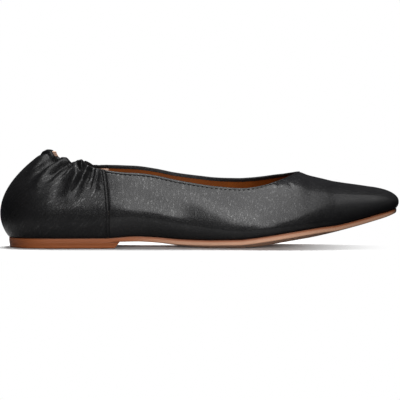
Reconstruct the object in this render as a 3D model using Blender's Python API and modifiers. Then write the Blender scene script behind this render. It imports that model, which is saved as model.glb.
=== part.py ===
"""Square toe ballet flat, right shoe, with a gathered elastic heel collar.

Toe towards +X, inner side of the foot towards +Y, up +Z, in metres. The floor is Z = 0 and the
origin lies on it under the centre of the heel. Every surface is worked out from the named sizes
below and from short tables whose lengths are shares of those sizes.
"""

import math

import bmesh
import bpy
import numpy as np

# Driving sizes
LENGTH = 0.260
BALL_WIDTH = 0.075
TOE_CORNER = 0.0042
TOE_BOW = 0.0012
HEEL_ROUND = 0.024
HEEL_BULGE = 0.0056
BACK_RISE = 0.0575
VAMP_RISE = 0.0379
NOSE = 0.017
TOE_SPRING = 0.0240
LIFT = 0.0039
BREAST = 0.0755
BREAST_SLANT = 0.0032
HEEL_CENTRE = 0.040
SOLE_THICKNESS = 0.0034
SOLE_CROWN = 0.0025
SOLE_ROUND = 0.0009
INSOLE_THICKNESS = 0.0020
WALL = 0.0018
LAP = 0.0006
SETBACK = 0.0005
FOLD_HEIGHT = 0.0020
GAP = 0.0003

# Shares of the half outline, heel centre to toe centre: where the side seam stands, and half the
# width of its step
SEAM = 0.284
SEAM_STEP = 0.0008

# Shares of LENGTH between which the walls of the quarters turn into the dome of the vamp
VAMP_FROM_SHARE = 0.56
VAMP_FULL_SHARE = 0.72

# Shares of LENGTH and BALL_WIDTH: where the vamp's ridge wanders to the inner side, and how far
RIDGE_SWAY_SHARE = 0.76
RIDGE_SWAY_REACH_SHARE = 0.30
RIDGE_SWAY = 0.055

# How finely the meshes are cut
COLUMNS_BACK = 23
COLUMNS_FRONT = 35
ROWS = 16
SOLE_COLUMNS = 48
HEEL_POINTS = 17
SHARP_ANGLE = math.radians(40)
# Points of the fine curves that the meshes are read from: along half of the outline, round the heel,
# across the toe, and up a rib below and above the widest line
DENSE = 1200
HEEL_DENSE = 300
TOE_DENSE = 150
RIB_LOW = 40
RIB_HIGH = 121

# The sole's cross section: how much of its half width is flat, and where its rings run
FLAT_MIDDLE_SHARE = 0.40
SPREAD = (0.0, 0.40, 0.62, 0.82, 1.0)

# The outsole's outline and the upper's swell beyond it.
# x: share of LENGTH from the back. outer, inner: half widths, shares of BALL_WIDTH.
# swell_outer, swell_inner: how far the widest line stands out, shares of HEEL_BULGE.
# widest: its height above the sole, a share of BACK_RISE.
OUTLINE = np.array(
    [
        # x, outer, inner, swell_outer, swell_inner, widest
        (0.000, 0.350, 0.345, 1.00, 1.00, 0.265),
        (0.060, 0.350, 0.345, 0.82, 0.82, 0.270),
        (0.117, 0.350, 0.343, 0.62, 0.62, 0.280),
        (0.192, 0.347, 0.334, 0.55, 0.58, 0.275),
        (0.269, 0.337, 0.304, 0.58, 0.74, 0.262),
        (0.346, 0.334, 0.268, 0.66, 0.92, 0.236),
        (0.404, 0.343, 0.252, 0.66, 0.98, 0.206),
        (0.462, 0.368, 0.262, 0.56, 0.86, 0.178),
        (0.519, 0.408, 0.312, 0.46, 0.62, 0.146),
        (0.577, 0.451, 0.387, 0.38, 0.44, 0.110),
        (0.635, 0.488, 0.451, 0.31, 0.33, 0.094),
        (0.692, 0.508, 0.488, 0.28, 0.28, 0.088),
        (0.731, 0.506, 0.494, 0.26, 0.26, 0.085),
        (0.769, 0.486, 0.480, 0.25, 0.25, 0.084),
        (0.827, 0.432, 0.434, 0.23, 0.23, 0.086),
        (0.885, 0.360, 0.374, 0.24, 0.24, 0.080),
        (0.942, 0.290, 0.316, 0.26, 0.26, 0.072),
        (1.000, 0.222, 0.258, 0.28, 0.28, 0.066),
    ]
)

# The sole from the side. x: share of LENGTH. lift, spring: height of the middle of its underside,
# shares of LIFT and TOE_SPRING. thick: share of SOLE_THICKNESS. crown: how far its edge stands
# above its middle, a share of SOLE_CROWN.
SIDE = np.array(
    [
        # x, lift, spring, thick, crown
        (0.000, 1.00, 0.000, 0.74, 0.00),
        (0.150, 1.00, 0.000, 0.74, 0.00),
        (0.270, 1.00, 0.000, 0.76, 0.00),
        (0.300, 1.04, 0.000, 0.84, 0.04),
        (0.342, 1.06, 0.000, 1.00, 0.10),
        (0.387, 0.88, 0.000, 1.00, 0.24),
        (0.448, 0.40, 0.000, 1.00, 0.46),
        (0.503, 0.08, 0.000, 1.00, 0.76),
        (0.540, 0.00, 0.000, 1.00, 0.88),
        (0.600, 0.00, 0.000, 1.00, 1.06),
        (0.629, 0.00, 0.015, 1.00, 1.26),
        (0.659, 0.00, 0.055, 1.00, 1.34),
        (0.689, 0.00, 0.110, 1.00, 1.32),
        (0.719, 0.00, 0.167, 1.00, 1.30),
        (0.749, 0.00, 0.225, 1.00, 1.26),
        (0.779, 0.00, 0.282, 1.00, 1.20),
        (0.810, 0.00, 0.355, 1.00, 0.96),
        (0.840, 0.00, 0.435, 1.00, 0.55),
        (0.870, 0.00, 0.520, 1.00, 0.40),
        (0.900, 0.00, 0.607, 1.00, 0.32),
        (0.930, 0.00, 0.703, 1.00, 0.24),
        (0.960, 0.00, 0.808, 0.94, 0.12),
        (1.000, 0.00, 0.985, 0.62, 0.00),
    ]
)

# The topline, a row for each rib of the upper. foot: share of the half outline where the rib
# stands. x: share of LENGTH. outer, inner: half widths, shares of BALL_WIDTH, of which a
# negative one lies across the middle. outer_rise, inner_rise: heights above the sole, shares of BACK_RISE.
TOPLINE = np.array(
    [
        # foot, x, outer, outer_rise, inner, inner_rise
        (0.000, 0.1120, 0.000, 0.950, 0.000, 0.950),
        (0.022, 0.1180, 0.045, 0.974, 0.045, 0.972),
        (0.045, 0.1310, 0.092, 0.978, 0.092, 0.974),
        (0.062, 0.1400, 0.127, 0.920, 0.127, 0.912),
        (0.100, 0.1577, 0.180, 0.913, 0.180, 0.890),
        (0.140, 0.1750, 0.220, 0.888, 0.217, 0.860),
        (0.165, 0.1865, 0.246, 0.842, 0.240, 0.848),
        (0.200, 0.2058, 0.280, 0.884, 0.268, 0.865),
        (0.225, 0.2212, 0.300, 0.848, 0.290, 0.835),
        (0.245, 0.2346, 0.317, 0.805, 0.304, 0.808),
        (0.262, 0.2462, 0.328, 0.788, 0.317, 0.806),
        (0.284, 0.2660, 0.340, 0.770, 0.330, 0.808),
        (0.330, 0.3270, 0.355, 0.718, 0.336, 0.779),
        (0.370, 0.3730, 0.363, 0.702, 0.341, 0.755),
        (0.425, 0.4330, 0.371, 0.669, 0.349, 0.722),
        (0.480, 0.4920, 0.379, 0.634, 0.363, 0.698),
        (0.535, 0.5530, 0.384, 0.598, 0.381, 0.672),
        (0.575, 0.5980, 0.381, 0.579, 0.389, 0.663),
        (0.612, 0.6270, 0.372, 0.571, 0.387, 0.656),
        (0.655, 0.6580, 0.341, 0.575, 0.368, 0.651),
        (0.710, 0.6885, 0.291, 0.594, 0.328, 0.649),
        (0.780, 0.7155, 0.213, 0.615, 0.261, 0.643),
        (0.870, 0.7345, 0.120, 0.636, 0.173, 0.644),
        (0.940, 0.7435, 0.033, 0.645, 0.098, 0.647),
        (1.000, 0.7460, -0.033, 0.648, 0.033, 0.648),
    ]
)

# The vamp's ridge ahead of the throat. x: share of LENGTH. rise: share of VAMP_RISE above the sole.
RIDGE = np.array(
    [
        # x, rise
        (0.550, 1.300),
        (0.640, 1.160),
        (0.700, 1.060),
        (0.746, 0.985),
        (0.777, 0.880),
        (0.808, 0.799),
        (0.854, 0.687),
        (0.898, 0.574),
        (0.944, 0.446),
        (1.000, 0.325),
    ]
)

# The gathers of the heel. side: -1 outer, 1 inner. collar: share of the half outline at the
# collar. drift: how far that share moves on the way down. reach: share of the rib that it runs
# down. half: half width, a share of the half outline. height: share of FOLD_HEIGHT.
FOLDS = np.array(
    [
        # side, collar, drift, reach, half, height
        (-1, 0.062, -0.034, 0.42, 0.017, 0.55),
        (-1, 0.100, -0.040, 0.30, 0.014, -0.60),
        (-1, 0.142, -0.080, 0.55, 0.020, 0.80),
        (-1, 0.176, -0.066, 0.50, 0.015, -1.00),
        (-1, 0.211, -0.050, 0.55, 0.018, 0.85),
        (-1, 0.240, -0.030, 0.50, 0.013, -0.75),
        (-1, 0.262, -0.012, 0.32, 0.010, 0.35),
        (1, 0.070, -0.034, 0.40, 0.017, 0.50),
        (1, 0.112, -0.044, 0.38, 0.015, -0.70),
        (1, 0.150, -0.066, 0.55, 0.018, 0.80),
        (1, 0.190, -0.060, 0.50, 0.017, -0.90),
        (1, 0.228, -0.040, 0.50, 0.016, 0.75),
        (1, 0.256, -0.020, 0.36, 0.011, -0.50),
    ]
)

LEATHER_BLACK = ((0.018, 0.017, 0.018), 0.42)
LEATHER_TAN = ((0.42, 0.20, 0.11), 0.55)
LEATHER_CARAMEL = ((0.36, 0.13, 0.04), 0.60)

# Powers of the curves by which the ribs rise above the widest line: at the back, along the sides and
# over the vamp, and of the dome of the vamp across the foot and round the nose of the toe
BACK_POWER = 2.0
SIDE_POWER = 1.9
VAMP_POWER = 2.2
DOME_ACROSS_POWER = 2.25
DOME_NOSE_POWER = 2.2
DOME_LIFT_POWER = 0.46

# How far the toe's leather stands out beyond the sole's tip
TOE_BULGE = HEEL_BULGE * OUTLINE[-1, 3]


def read(table, column, at):
    """A table's column at places along its first column, by a cubic that never overshoots a row."""
    knots = table[:, 0]
    values = table[:, column]
    steps = np.diff(knots)
    secants = np.diff(values) / steps
    slopes = np.empty(len(knots))
    slopes[0] = secants[0]
    slopes[-1] = secants[-1]
    same = secants[:-1] * secants[1:] > 0
    total = np.where(same, secants[:-1] + secants[1:], 1.0)
    slopes[1:-1] = np.where(same, 2 * secants[:-1] * secants[1:] / total, 0.0)
    at = np.clip(np.asarray(at, float), knots[0], knots[-1])
    i = np.clip(np.searchsorted(knots, at) - 1, 0, len(knots) - 2)
    t = (at - knots[i]) / steps[i]
    keep = (1 + 2 * t) * (1 - t) ** 2 * values[i] + t * t * (3 - 2 * t) * values[i + 1]
    return keep + steps[i] * t * (1 - t) * ((1 - t) * slopes[i] - t * slopes[i + 1])


def arc_share(points):
    """How far along a line of points each one lies, from 0 to 1."""
    lengths = np.linalg.norm(np.diff(points, axis=0), axis=1)
    along = np.concatenate([[0.0], np.cumsum(lengths)])
    return along / along[-1]


def at_shares(points, shares):
    """Points of a line at these shares of its length."""
    along = arc_share(points)
    return np.stack([np.interp(shares, along, points[:, k]) for k in range(points.shape[1])], axis=1)


def softened(loop, reach):
    """A closed, evenly spaced loop of values, each averaged with its neighbours within about reach."""
    steps = np.linalg.norm(np.diff(loop[:, :2], axis=0), axis=1).mean()
    away = np.arange(len(loop))
    away = np.minimum(away, len(loop) - away) * steps
    kernel = np.exp(-0.5 * (away / reach) ** 2)
    kernel /= kernel.sum()
    spectrum = np.fft.rfft(kernel)[:, None] * np.fft.rfft(loop, axis=0)
    return np.fft.irfft(spectrum, len(loop), axis=0)


def eased(t):
    """0 to 1 with level ends."""
    t = np.clip(t, 0.0, 1.0)
    return t * t * (3 - 2 * t)


def half_outline(column):
    """The outsole's outline from heel centre to toe centre on one side, as (x, half width)."""
    back = HEEL_BULGE
    tip = LENGTH - TOE_BULGE
    side_x = np.linspace(back + HEEL_ROUND, tip - TOE_BOW, DENSE)
    side = np.stack([side_x, BALL_WIDTH * read(OUTLINE, column, side_x / LENGTH)], axis=1)
    angle = np.linspace(0, math.pi / 2, HEEL_DENSE, endpoint=False)
    heel_x = back + HEEL_ROUND * (1 - np.cos(angle))
    heel = np.stack([heel_x, side[0, 1] * np.sin(angle)], axis=1)
    across = np.linspace(1, 0, TOE_DENSE)[1:]
    front = np.stack([tip - TOE_BOW * across**2, side[-1, 1] * across], axis=1)
    return np.concatenate([heel, side, front])


def outline_loop():
    """The outsole's whole outline with its toe corners rounded, and where each half ends."""
    outer = at_shares(half_outline(1) * (1, -1), np.linspace(0, 1, DENSE, endpoint=False))
    inner = at_shares(half_outline(2), np.linspace(1, 0, DENSE, endpoint=False))
    return softened(np.concatenate([outer, inner]), TOE_CORNER)


OUTLINE_LOOP = outline_loop()


def outline_at(shares, side):
    """(points, outward directions) of the outline at shares of the half on one side."""
    loop = OUTLINE_LOOP
    ahead = np.roll(loop, -1, axis=0) - np.roll(loop, 1, axis=0)
    ahead /= np.linalg.norm(ahead, axis=1)[:, None]
    outward = np.stack([ahead[:, 1], -ahead[:, 0]], axis=1)
    place = np.asarray(shares) * DENSE
    place = place if side < 0 else 2 * DENSE - place
    index = np.arange(2 * DENSE + 1)
    closed = np.concatenate([np.hstack([loop, outward]), np.hstack([loop, outward])[:1]])
    found = np.stack([np.interp(place, index, closed[:, k]) for k in range(4)], axis=1)
    return found[:, :2], found[:, 2:]


def underside(x):
    """Height of the middle of the outsole's underside."""
    share = x / LENGTH
    return LIFT * read(SIDE, 1, share) + TOE_SPRING * read(SIDE, 2, share)


def crown(x):
    return SOLE_CROWN * read(SIDE, 4, x / LENGTH)


def thickness(x):
    return SOLE_THICKNESS * read(SIDE, 3, x / LENGTH)


def sole_top(x):
    """Height of the outsole's upper edge, where the upper stands."""
    return underside(x) + crown(x) + thickness(x)


def widest_height(x):
    return sole_top(x) + BACK_RISE * read(OUTLINE, 5, x / LENGTH)


def widest_line(shares, side):
    """The upper's widest line on one side, as points."""
    points, outward = outline_at(shares, side)
    column = 3 if side < 0 else 4
    swell = HEEL_BULGE * read(OUTLINE, column, points[:, 0] / LENGTH)
    wide = points + outward * swell[:, None]
    height = widest_height(np.clip(wide[:, 0], 0, LENGTH))
    return np.column_stack([wide, height])


def ridge_height(x):
    """Height of the vamp over its middle, falling off round the nose of the toe."""
    base = sole_top(x) + VAMP_RISE * read(RIDGE, 1, x / LENGTH)
    into_nose = np.clip((x - (LENGTH - NOSE)) / NOSE, 0, 1)
    low = widest_height(x)
    return low + (base - low) * (1 - into_nose**DOME_NOSE_POWER) ** DOME_LIFT_POWER


def ridge_middle(x):
    """The ridge's sideways place: it wanders to the inner side over the ball and back at the toe."""
    away = np.abs(x / LENGTH - RIDGE_SWAY_SHARE) / RIDGE_SWAY_REACH_SHARE
    return BALL_WIDTH * RIDGE_SWAY * eased(1 - away)


def dome_height(x, y, half_width):
    """Height of the vamp at a place in plan, for the half width of the widest line there."""
    middle = ridge_middle(x)
    share = np.clip(np.abs(y - middle) / half_width, 0, 1)
    low = widest_height(np.clip(x, 0, LENGTH))
    high = ridge_height(np.clip(x, 0, LENGTH))
    return low + (high - low) * np.sqrt(1 - share**DOME_ACROSS_POWER)


def topline_at(shares, side):
    """The upper's top edge at shares of the half outline on one side, as points."""
    x = LENGTH * read(TOPLINE, 1, shares)
    if side < 0:
        half, rise = read(TOPLINE, 2, shares), read(TOPLINE, 3, shares)
    else:
        half, rise = read(TOPLINE, 4, shares), read(TOPLINE, 5, shares)
    return np.column_stack([x, side * BALL_WIDTH * half, sole_top(x) + BACK_RISE * rise])


def ribs(shares, side, count):
    """Ribs of the upper from the sole to the topline: an array of shares by count by 3."""
    feet, outward = outline_at(shares, side)
    feet = feet - outward * SETBACK
    feet = np.column_stack([feet, sole_top(np.clip(feet[:, 0], 0, LENGTH)) + GAP])
    wide = widest_line(shares, side)
    top = topline_at(shares, side)
    t = np.linspace(0, 1, RIB_LOW)[None, :, None]
    low_xy = feet[:, None, :2] + (wide - feet)[:, None, :2] * (1 - (1 - t) ** 2)
    low_z = feet[:, None, 2] + (wide - feet)[:, None, 2] * t[:, :, 0]
    q = np.linspace(0, 1, RIB_HIGH)[None, 1:, None]
    power = BACK_POWER + (SIDE_POWER - BACK_POWER) * eased(shares / SEAM)[:, None, None]
    side_xy = wide[:, None, :2] + (top - wide)[:, None, :2] * q**power
    side_z = wide[:, None, 2] + (top - wide)[:, None, 2] * q[:, :, 0]
    vamp_xy = wide[:, None, :2] + (top - wide)[:, None, :2] * q**VAMP_POWER
    fine = widest_line(np.linspace(0, 1, DENSE), side)
    order = np.argsort(fine[:, 0], kind="stable")
    edge = np.interp(vamp_xy[:, :, 0], fine[order, 0], fine[order, 1])
    half = np.abs(edge - ridge_middle(vamp_xy[:, :, 0]))
    vamp_z = dome_height(vamp_xy[:, :, 0], vamp_xy[:, :, 1], half)
    vamp_z += (top[:, None, 2] - vamp_z[:, -1:]) * q[:, :, 0] ** 3
    vamp = eased((wide[:, 0] / LENGTH - VAMP_FROM_SHARE) / (VAMP_FULL_SHARE - VAMP_FROM_SHARE))[:, None]
    made = []
    for i in range(len(wide)):
        lower = np.column_stack([low_xy[i], low_z[i]])
        by_side = np.concatenate([lower, np.column_stack([side_xy[i], side_z[i]])])
        by_vamp = np.concatenate([lower, np.column_stack([vamp_xy[i], vamp_z[i]])])
        rows = np.linspace(0, 1, count)
        made.append(at_shares(by_side, rows) * (1 - vamp[i]) + at_shares(by_vamp, rows) * vamp[i])
    return np.array(made)


def folded(shares, side, rows):
    """How far the gathers and the seam's lap push the wall out, for shares by rows."""
    s = np.asarray(shares)[:, None]
    down = 1 - rows[None, :]
    push = np.zeros((len(s), len(rows)))
    for fold_side, collar, drift, reach, half, height in FOLDS:
        if fold_side != side:
            continue
        centre = collar + drift * down / reach
        across = np.exp(-(((s - centre) / half) ** 2))
        push += FOLD_HEIGHT * height * across * eased(1 - down / reach)
    return push + LAP * (s < SEAM)


def clear_scene():
    for thing in list(bpy.data.objects):
        bpy.data.objects.remove(thing)


def material(name, look):
    made = bpy.data.materials.new(name)
    made.use_nodes = True
    shader = made.node_tree.nodes["Principled BSDF"]
    shader.inputs["Base Color"].default_value = (*look[0], 1.0)
    shader.inputs["Roughness"].default_value = look[1]
    shader.inputs["Metallic"].default_value = 0.0
    return made


def add_object(name, mesh, look, shoe, collection):
    made = bpy.data.objects.new(name, mesh)
    mesh.materials.append(look)
    mesh.shade_smooth()
    mesh.set_sharp_from_angle(angle=SHARP_ANGLE)
    made.parent = shoe
    collection.objects.link(made)
    return made


def loft(name, rings, closed_ends):
    """A mesh through rings of as many points each, each ring joined to the next and round on itself."""
    count = len(rings[0])
    form = bmesh.new()
    corners = [[form.verts.new(point) for point in ring] for ring in rings]
    for low, high in zip(corners[:-1], corners[1:]):
        for i in range(count):
            j = (i + 1) % count
            form.faces.new((low[i], low[j], high[j], high[i]))
    if closed_ends:
        form.faces.new(reversed(corners[0]))
        form.faces.new(corners[-1])
    bmesh.ops.remove_doubles(form, verts=form.verts, dist=1e-6)
    bmesh.ops.recalc_face_normals(form, faces=form.faces)
    mesh = bpy.data.meshes.new(name)
    form.to_mesh(mesh)
    form.free()
    return mesh


def upper_mesh():
    """The upper's outer face as an open sheet, and each point's share of the full wall."""
    back = np.linspace(0, SEAM - SEAM_STEP, COLUMNS_BACK)
    front = np.linspace(SEAM + SEAM_STEP, 1, COLUMNS_FRONT)
    shares = np.concatenate([back, front])
    outer = ribs(shares, -1, ROWS)
    inner = ribs(shares, 1, ROWS)
    grid = np.concatenate([outer, inner[-2:0:-1]])
    around = np.roll(grid, -1, axis=0) - np.roll(grid, 1, axis=0)
    upward = np.gradient(grid, axis=1)
    normals = np.cross(around, upward)
    normals[:, 0, 2] = 0.0
    normals /= np.linalg.norm(normals, axis=2)[:, :, None]
    rows = np.linspace(0, 1, ROWS)
    push = np.concatenate([folded(shares, -1, rows), folded(shares, 1, rows)[-2:0:-1]])
    grid = grid + normals * push[:, :, None]
    walls = np.concatenate([shares, shares[-2:0:-1]]) < SEAM
    mesh = loft("upper", grid.transpose(1, 0, 2), closed_ends=False)
    return mesh, np.tile(walls, ROWS)


def build_upper(look, shoe, collection):
    mesh, lapped = upper_mesh()
    upper = add_object("upper", mesh, look, shoe, collection)
    thick = upper.vertex_groups.new(name="wall")
    for i, double in enumerate(lapped):
        thick.add([i], 1.0 if double else WALL / (WALL + LAP), "REPLACE")
    shell = upper.modifiers.new("wall", "SOLIDIFY")
    shell.thickness = WALL + LAP
    shell.offset = -1.0
    shell.vertex_group = "wall"
    return upper


def sole_plan(inset):
    """The sole's outline in plan, drawn in by inset, and each point's place on its middle line."""
    shares = np.linspace(0, 1, SOLE_COLUMNS + 1)
    outer, out_outward = outline_at(shares, -1)
    inner, in_outward = outline_at(shares, 1)
    outer = outer - out_outward * inset
    inner = inner - in_outward * inset
    middle = (outer + inner) / 2
    x = np.clip(middle[:, 0], HEEL_BULGE + HEEL_ROUND, LENGTH - TOE_BULGE - NOSE)
    middle = np.column_stack([x, np.interp(x, middle[:, 0], middle[:, 1])])
    edge = np.concatenate([outer, inner[-2:0:-1]])
    return edge, np.concatenate([middle, middle[-2:0:-1]])


def ring_at(plan, share, height):
    """A ring a share of the way out from the middle line, at heights given by a function of x and share."""
    edge, spine = plan
    place = spine + (edge - spine) * share
    return np.column_stack([place, height(np.clip(place[:, 0], 0, LENGTH), share)])


def dished(x, share):
    """Height of the sole's underside, which rises from its flat middle to its edge."""
    rise = np.clip((share - FLAT_MIDDLE_SHARE) / (1 - FLAT_MIDDLE_SHARE), 0, 1)
    return underside(x) + crown(x) * rise**2


def build_outsole(look, shoe, collection):
    def upper_face(x, share):
        return dished(x, share) + thickness(x)

    def edge_low(x, share):
        return dished(x, share) + SOLE_ROUND

    whole = sole_plan(0.0)
    drawn = sole_plan(SOLE_ROUND)
    rings = [ring_at(whole, share, upper_face) for share in SPREAD]
    rings.append(ring_at(whole, 1.0, edge_low))
    rings += [ring_at(drawn, share, dished) for share in reversed(SPREAD)]
    return add_object("outsole", loft("outsole", rings, False), look, shoe, collection)


def build_insole(look, shoe, collection):
    def lower_face(x, share):
        return dished(x, share) + thickness(x) + GAP

    def upper_face(x, share):
        return lower_face(x, share) + INSOLE_THICKNESS

    plan = sole_plan(SETBACK + LAP + WALL + GAP)
    rings = [ring_at(plan, share, lower_face) for share in SPREAD]
    rings += [ring_at(plan, share, upper_face) for share in reversed(SPREAD)]
    return add_object("insole", loft("insole", rings, False), look, shoe, collection)


def heel_ring(breast, height, inset):
    """The heel's outline, drawn in by inset and cut straight across at the breast, at one height."""
    shares = np.linspace(0, 1, DENSE)
    rows = np.linspace(0, 1, HEEL_POINTS)
    sides = []
    for side in (-1, 1):
        points, outward = outline_at(shares, side)
        points = points - outward * inset
        corner = (breast, np.interp(breast, points[:, 0], points[:, 1]))
        kept = np.vstack([points[points[:, 0] < breast], corner])
        sides.append(at_shares(kept, rows))
    plan = np.concatenate([sides[0], sides[1][:0:-1]])
    return np.column_stack([plan, np.full(len(plan), height)])


def build_heel(look, shoe, collection):
    top = LIFT - GAP
    rings = [
        heel_ring(BREAST, 0.0, SETBACK),
        heel_ring(BREAST + BREAST_SLANT, top, 0.0),
    ]
    return add_object("heel", loft("heel", rings, True), look, shoe, collection)


def main():
    clear_scene()
    collection = bpy.data.collections.new("ballet_flat")
    bpy.context.scene.collection.children.link(collection)
    shoe = bpy.data.objects.new("shoe", None)
    shoe.location = (-HEEL_CENTRE, 0, 0)
    collection.objects.link(shoe)
    black = material("black_leather", LEATHER_BLACK)
    tan = material("tan_sole_leather", LEATHER_TAN)
    caramel = material("caramel_lining_leather", LEATHER_CARAMEL)
    build_upper(black, shoe, collection)
    build_outsole(tan, shoe, collection)
    build_insole(caramel, shoe, collection)
    build_heel(tan, shoe, collection)
    bpy.context.view_layer.update()


main()
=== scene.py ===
# %% [markdown]
# # Square toe ballet flat
# One black leather flat for the right foot, seen from its outer side, on a plain pale floor.
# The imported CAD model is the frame: four simple solids, the upper, the outsole, the insole and the
# heel. This script dresses them. The upper becomes what a maker cuts and sews: a front panel that
# runs round the toe from side seam to side seam, a gathered panel round the heel, a lining behind
# each, and the threads that hold them. The sole, the heel and the insole get finer meshes and
# leather that is worked out from nodes.
#
# The same curves that made the solids are repeated here at a finer pitch, because this file reads
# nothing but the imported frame. All lengths are metres, the toe points to +X, the inner side of the
# foot to +Y, and the floor is Z = 0.

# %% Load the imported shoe
import math

import bmesh
import bpy
import numpy as np
from mathutils import Matrix, Vector


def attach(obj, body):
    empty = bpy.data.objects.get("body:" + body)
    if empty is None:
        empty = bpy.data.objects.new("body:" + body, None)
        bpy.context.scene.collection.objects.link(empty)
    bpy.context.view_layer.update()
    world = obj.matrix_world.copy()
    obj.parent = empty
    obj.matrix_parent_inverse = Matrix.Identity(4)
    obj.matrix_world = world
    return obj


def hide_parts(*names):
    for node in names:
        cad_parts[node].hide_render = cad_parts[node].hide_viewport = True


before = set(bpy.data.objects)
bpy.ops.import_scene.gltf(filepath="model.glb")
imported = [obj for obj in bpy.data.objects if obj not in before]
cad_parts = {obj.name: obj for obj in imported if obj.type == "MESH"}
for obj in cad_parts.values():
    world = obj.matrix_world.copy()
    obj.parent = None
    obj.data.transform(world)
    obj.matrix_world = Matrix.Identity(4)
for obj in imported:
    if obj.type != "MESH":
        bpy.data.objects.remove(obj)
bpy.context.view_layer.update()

MM = 0.001
print("solids", sorted(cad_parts))

# %% [markdown]
# ## Camera
# The photograph was taken from the side with a long lens, a touch above the floor. A long lens
# could be faked with an orthographic camera, but the far edge of the topline stands slightly
# smaller than the near one, so a 200 mm lens is used, a good 1.4 metres away. One point that is easy
# to find in the photograph, the near edge of the sole under the middle of the shoe, fixes where the
# camera stands: it is moved until that point falls on its own pixel.

# %% The camera
PHOTO_PIXELS = 400
SENSOR = 36.0
LENS = 200.0
CAMERA_DISTANCE = 1.4267
CAMERA_ELEVATION = math.radians(2.0)
SOLE_POINT = Vector((0.0900, -0.026, 0.0))
SOLE_POINT_PIXEL = (199.2, 248.6)

looking = Vector((0.0, math.cos(CAMERA_ELEVATION), -math.sin(CAMERA_ELEVATION)))
rightward = Vector((1.0, 0.0, 0.0))
upward = rightward.cross(looking)
pixels_per_unit = LENS / SENSOR * PHOTO_PIXELS / CAMERA_DISTANCE
aside = (SOLE_POINT_PIXEL[0] - PHOTO_PIXELS / 2) / pixels_per_unit
below = (SOLE_POINT_PIXEL[1] - PHOTO_PIXELS / 2) / pixels_per_unit

camera_data = bpy.data.cameras.new("side_camera")
camera_data.lens = LENS
camera_data.sensor_width = SENSOR
camera = bpy.data.objects.new("side_camera", camera_data)
camera.location = SOLE_POINT - rightward * aside + upward * below - looking * CAMERA_DISTANCE
camera.rotation_mode = "QUATERNION"
camera.rotation_quaternion = looking.to_track_quat("-Z", "Y")
bpy.context.scene.collection.objects.link(camera)
bpy.context.scene.camera = camera
print("camera at", [round(x, 4) for x in camera.location])

# %% [markdown]
# ## Nodes with plain words
# Every material below is a small net of nodes. The first helper adds a node and sets its properties
# and sockets. The next four are the kinds of node that come back all the time, and the last two make
# a node group with named sockets and a material.


# %% Helpers for node trees
def add_node(tree, kind, sockets=None, **properties):
    """Adds a node, sets its properties, and sets or links its input sockets by name or number."""
    made = tree.nodes.new(kind)
    for name, value in properties.items():
        setattr(made, name, value)
    for name, value in (sockets or {}).items():
        if isinstance(value, bpy.types.NodeSocket):
            tree.links.new(value, made.inputs[name])
        else:
            made.inputs[name].default_value = value
    return made


def mixed_colour(tree, share, first, second):
    """The colour that lies share of the way from first to second. Each is a value or a socket."""
    mix = add_node(tree, "ShaderNodeMix", {0: share, 6: first, 7: second}, data_type="RGBA")
    return mix.outputs[2]


def noise(tree, place, scale, **more):
    """The grey value of a noise texture at a place. more: its other sockets, by name."""
    made = add_node(tree, "ShaderNodeTexNoise", {"Vector": place, "Scale": scale, **more})
    return made.outputs["Fac"]


def math_of(tree, operation, *values):
    """What a Math node makes of up to three values or sockets."""
    made = add_node(tree, "ShaderNodeMath", dict(enumerate(values)), operation=operation)
    return made.outputs["Value"]


def ranged(tree, value, low, high, to_low=0.0, to_high=1.0, curve="SMOOTHSTEP"):
    """A value spread from low and high to to_low and to_high, with level ends or LINEAR."""
    ends = {"From Min": low, "From Max": high, "To Min": to_low, "To Max": to_high}
    made = add_node(tree, "ShaderNodeMapRange", {"Value": value, **ends}, interpolation_type=curve)
    return made.outputs["Result"]


def new_group(name, inputs, outputs):
    """An empty shader node group with named sockets, its input node and its output node."""
    group = bpy.data.node_groups.new(name, "ShaderNodeTree")
    for label, kind, value in inputs:
        socket = group.interface.new_socket(name=label, in_out="INPUT", socket_type=kind)
        socket.default_value = value
    for label, kind in outputs:
        group.interface.new_socket(name=label, in_out="OUTPUT", socket_type=kind)
    return group, group.nodes.new("NodeGroupInput"), group.nodes.new("NodeGroupOutput")


def new_material(name):
    """A material, its tree and its Principled shader."""
    made = bpy.data.materials.new(name)
    made.use_nodes = True
    return made, made.node_tree, made.node_tree.nodes["Principled BSDF"]


# %% [markdown]
# ## Floor and light
# The photograph has a white ground and one soft box close to the shoe. It leans over it from just
# above the lens to overhead, so the whole side mirrors it as a grey sheen down to the widest line of
# the wall. Below that line the leather mirrors the dark studio and then the near part of the table.
# Such a box is brightest in front of the waist and fades towards its ends. One area light is evenly
# bright, so a row of upright strips stands for the box, each with its own brightness and lower edge.
# The first strip is high and weak, so the back of the heel stays nearly black.
#
# The strips are kept off the floor by light linking, and a fill overhead, which casts no mirror
# image, lights the table and draws the thin dark shadow under the sole. A weak light low in front
# reaches the floor alone and lifts that shadow where the sole is off the floor.
#
# The floor is a pale sheet that fades into a white world before its far edge can be seen. It is
# dimmer to mirror rays than to the eye, because a real table ends a little in front of the shoe.

# %% The floor
FLOOR_REACH = 3.0
FLOOR_SQUARES = 8
FLOOR_DROP = 0.0002
FLOOR_COLOUR = (0.83, 0.83, 0.83, 1.0)
FLOOR_MIRRORED = (0.32, 0.32, 0.32, 1.0)
FLOOR_MIDDLE = (0.05, 0.0)
# The fade follows an oval with these half axes. It starts and ends at these shares of them.
FADE_LENGTH = 0.115
FADE_WIDTH = 0.113
FADE_START = 0.75
FADE_END = 1.45

floor_mesh = bpy.data.meshes.new("floor")
floor_form = bmesh.new()
bmesh.ops.create_grid(
    floor_form, x_segments=FLOOR_SQUARES, y_segments=FLOOR_SQUARES, size=FLOOR_REACH
)
floor_form.to_mesh(floor_mesh)
floor_form.free()
floor = bpy.data.objects.new("floor", floor_mesh)
floor.location = (*FLOOR_MIDDLE, -FLOOR_DROP)
bpy.context.scene.collection.objects.link(floor)

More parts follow.
